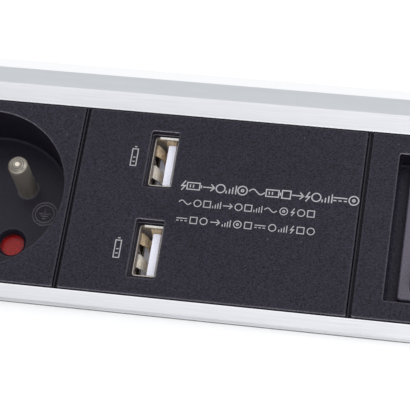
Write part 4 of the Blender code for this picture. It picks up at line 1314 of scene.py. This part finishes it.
def paint_contact_shadow(tree):
    """Painted contact shadow: darken the floor in the last centimetre before whatever stands
    on it.
    """
    shader = tree.nodes["Principled BSDF"]
    surface = shader.inputs["Base Color"].links[0].from_socket
    # Painted shadow: the floor's colour darkens where ambient occlusion finds the strip close
    # by
    near = node(tree, "ShaderNodeAmbientOcclusion", Distance=11.0 * MM)
    near.samples = 12
    shadow = ramp(tree, near.outputs["AO"], 0.62, 0.98, 0.5, 0.97)
    tree.links.new(scaled_colour(tree, surface, shadow), shader.inputs["Base Color"])


def studio_sky(tree):
    """Soft white surround: white at the horizon, dimmer above it, white overhead."""
    way = tree.nodes.new("ShaderNodeTexCoord").outputs["Generated"]
    height = node(tree, "ShaderNodeSeparateXYZ", Vector=way).outputs["Z"]
    horizon, overhead = (1.1, 1.1, 1.1), (1.46, 1.46, 1.48)
    sky = stepped(tree, height, (
        (0.0, horizon), (0.045, horizon), (0.09, (0.50, 0.56, 0.61)),
        (0.36, (0.56, 0.60, 0.63)), (0.62, overhead), (1.0, overhead)))
    tree.links.new(sky, tree.nodes["Background"].inputs[0])


class STRIP_OT_stage(bpy.types.Operator):
    """Pale floor, soft studio light and the camera."""

    bl_idname = "strip.stage"
    bl_label = "Stage"

    def execute(self, context):
        scene = context.scene
        corners = np.array([(-1, -1, 0), (1, -1, 0), (1, 1, 0), (-1, 1, 0)], float) * 6000.0
        floor = make_mesh("floor", (corners, [np.array([[0, 1, 2, 3]])]), WORLD)
        paper = make_finish("floor_paper", (0.79, 0.79, 0.79), 0.9, spread=0.01,
                            mottle=0.01, bump=0.0, specular=0.1)
        paint_contact_shadow(paper.node_tree)
        floor.data.materials.append(paper)
        world = bpy.data.worlds.new("studio")
        world.use_nodes = True
        studio_sky(world.node_tree)
        scene.world = world
        area_light("side", (0.34, -0.26, 0.32), (0.05, 0, 0.03), 0.3, 0.9)
        area_light("front", (0.14, -0.78, 0.12), (0.02, 0, 0.03), 0.18, 0.7)
        camera = bpy.data.cameras.new("camera")
        camera.lens = CAMERA_LENS
        camera.sensor_width = 36.0
        camera.clip_start = 0.01
        camera.clip_end = 50.0
        holder = bpy.data.objects.new("camera", camera)
        axes = Matrix((CAMERA_RIGHT, CAMERA_UP, CAMERA_BACK)).transposed().to_4x4()
        holder.matrix_world = Matrix.Translation(CAMERA_PLACE) @ axes
        scene.collection.objects.link(holder)
        scene.camera = holder
        scene.view_settings.view_transform = "Standard"
        return {"FINISHED"}


class STRIP_PT_panel(bpy.types.Panel):
    """Sidebar panel that lists the settings and the builders."""

    bl_label = "Power strip"
    bl_idname = "STRIP_PT_panel"
    bl_space_type = "VIEW_3D"
    bl_region_type = "UI"
    bl_category = "Power strip"

    def draw(self, context):
        for group in (context.scene.strip_sizes, context.scene.strip_colours):
            box = self.layout.box()
            for key in group.__annotations__:
                box.prop(group, key)
        for operator in OPERATORS:
            self.layout.operator(operator.bl_idname)


OPERATORS = (
    STRIP_OT_housing, STRIP_OT_end_caps, STRIP_OT_foot_strips, STRIP_OT_dividers,
    STRIP_OT_sockets, STRIP_OT_charger, STRIP_OT_printed_marks, STRIP_OT_rocker_switch,
    STRIP_OT_inlet, STRIP_OT_inner_parts, STRIP_OT_stage,
)
CLASSES = (StripSizes, StripColours, *OPERATORS, STRIP_PT_panel)


def register():
    """Register the classes and the scene's settings."""
    for cls in CLASSES:
        bpy.utils.register_class(cls)
    bpy.types.Scene.strip_sizes = PointerProperty(type=StripSizes)
    bpy.types.Scene.strip_colours = PointerProperty(type=StripColours)


def unregister():
    """Take the settings and the classes away again."""
    del bpy.types.Scene.strip_colours
    del bpy.types.Scene.strip_sizes
    for cls in reversed(CLASSES):
        bpy.utils.unregister_class(cls)


def main():
    """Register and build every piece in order."""
    register()
    for operator in OPERATORS:
        family, name = operator.bl_idname.split(".")
        getattr(getattr(bpy.ops, family), name)()


if __name__ == "__main__":
    main()
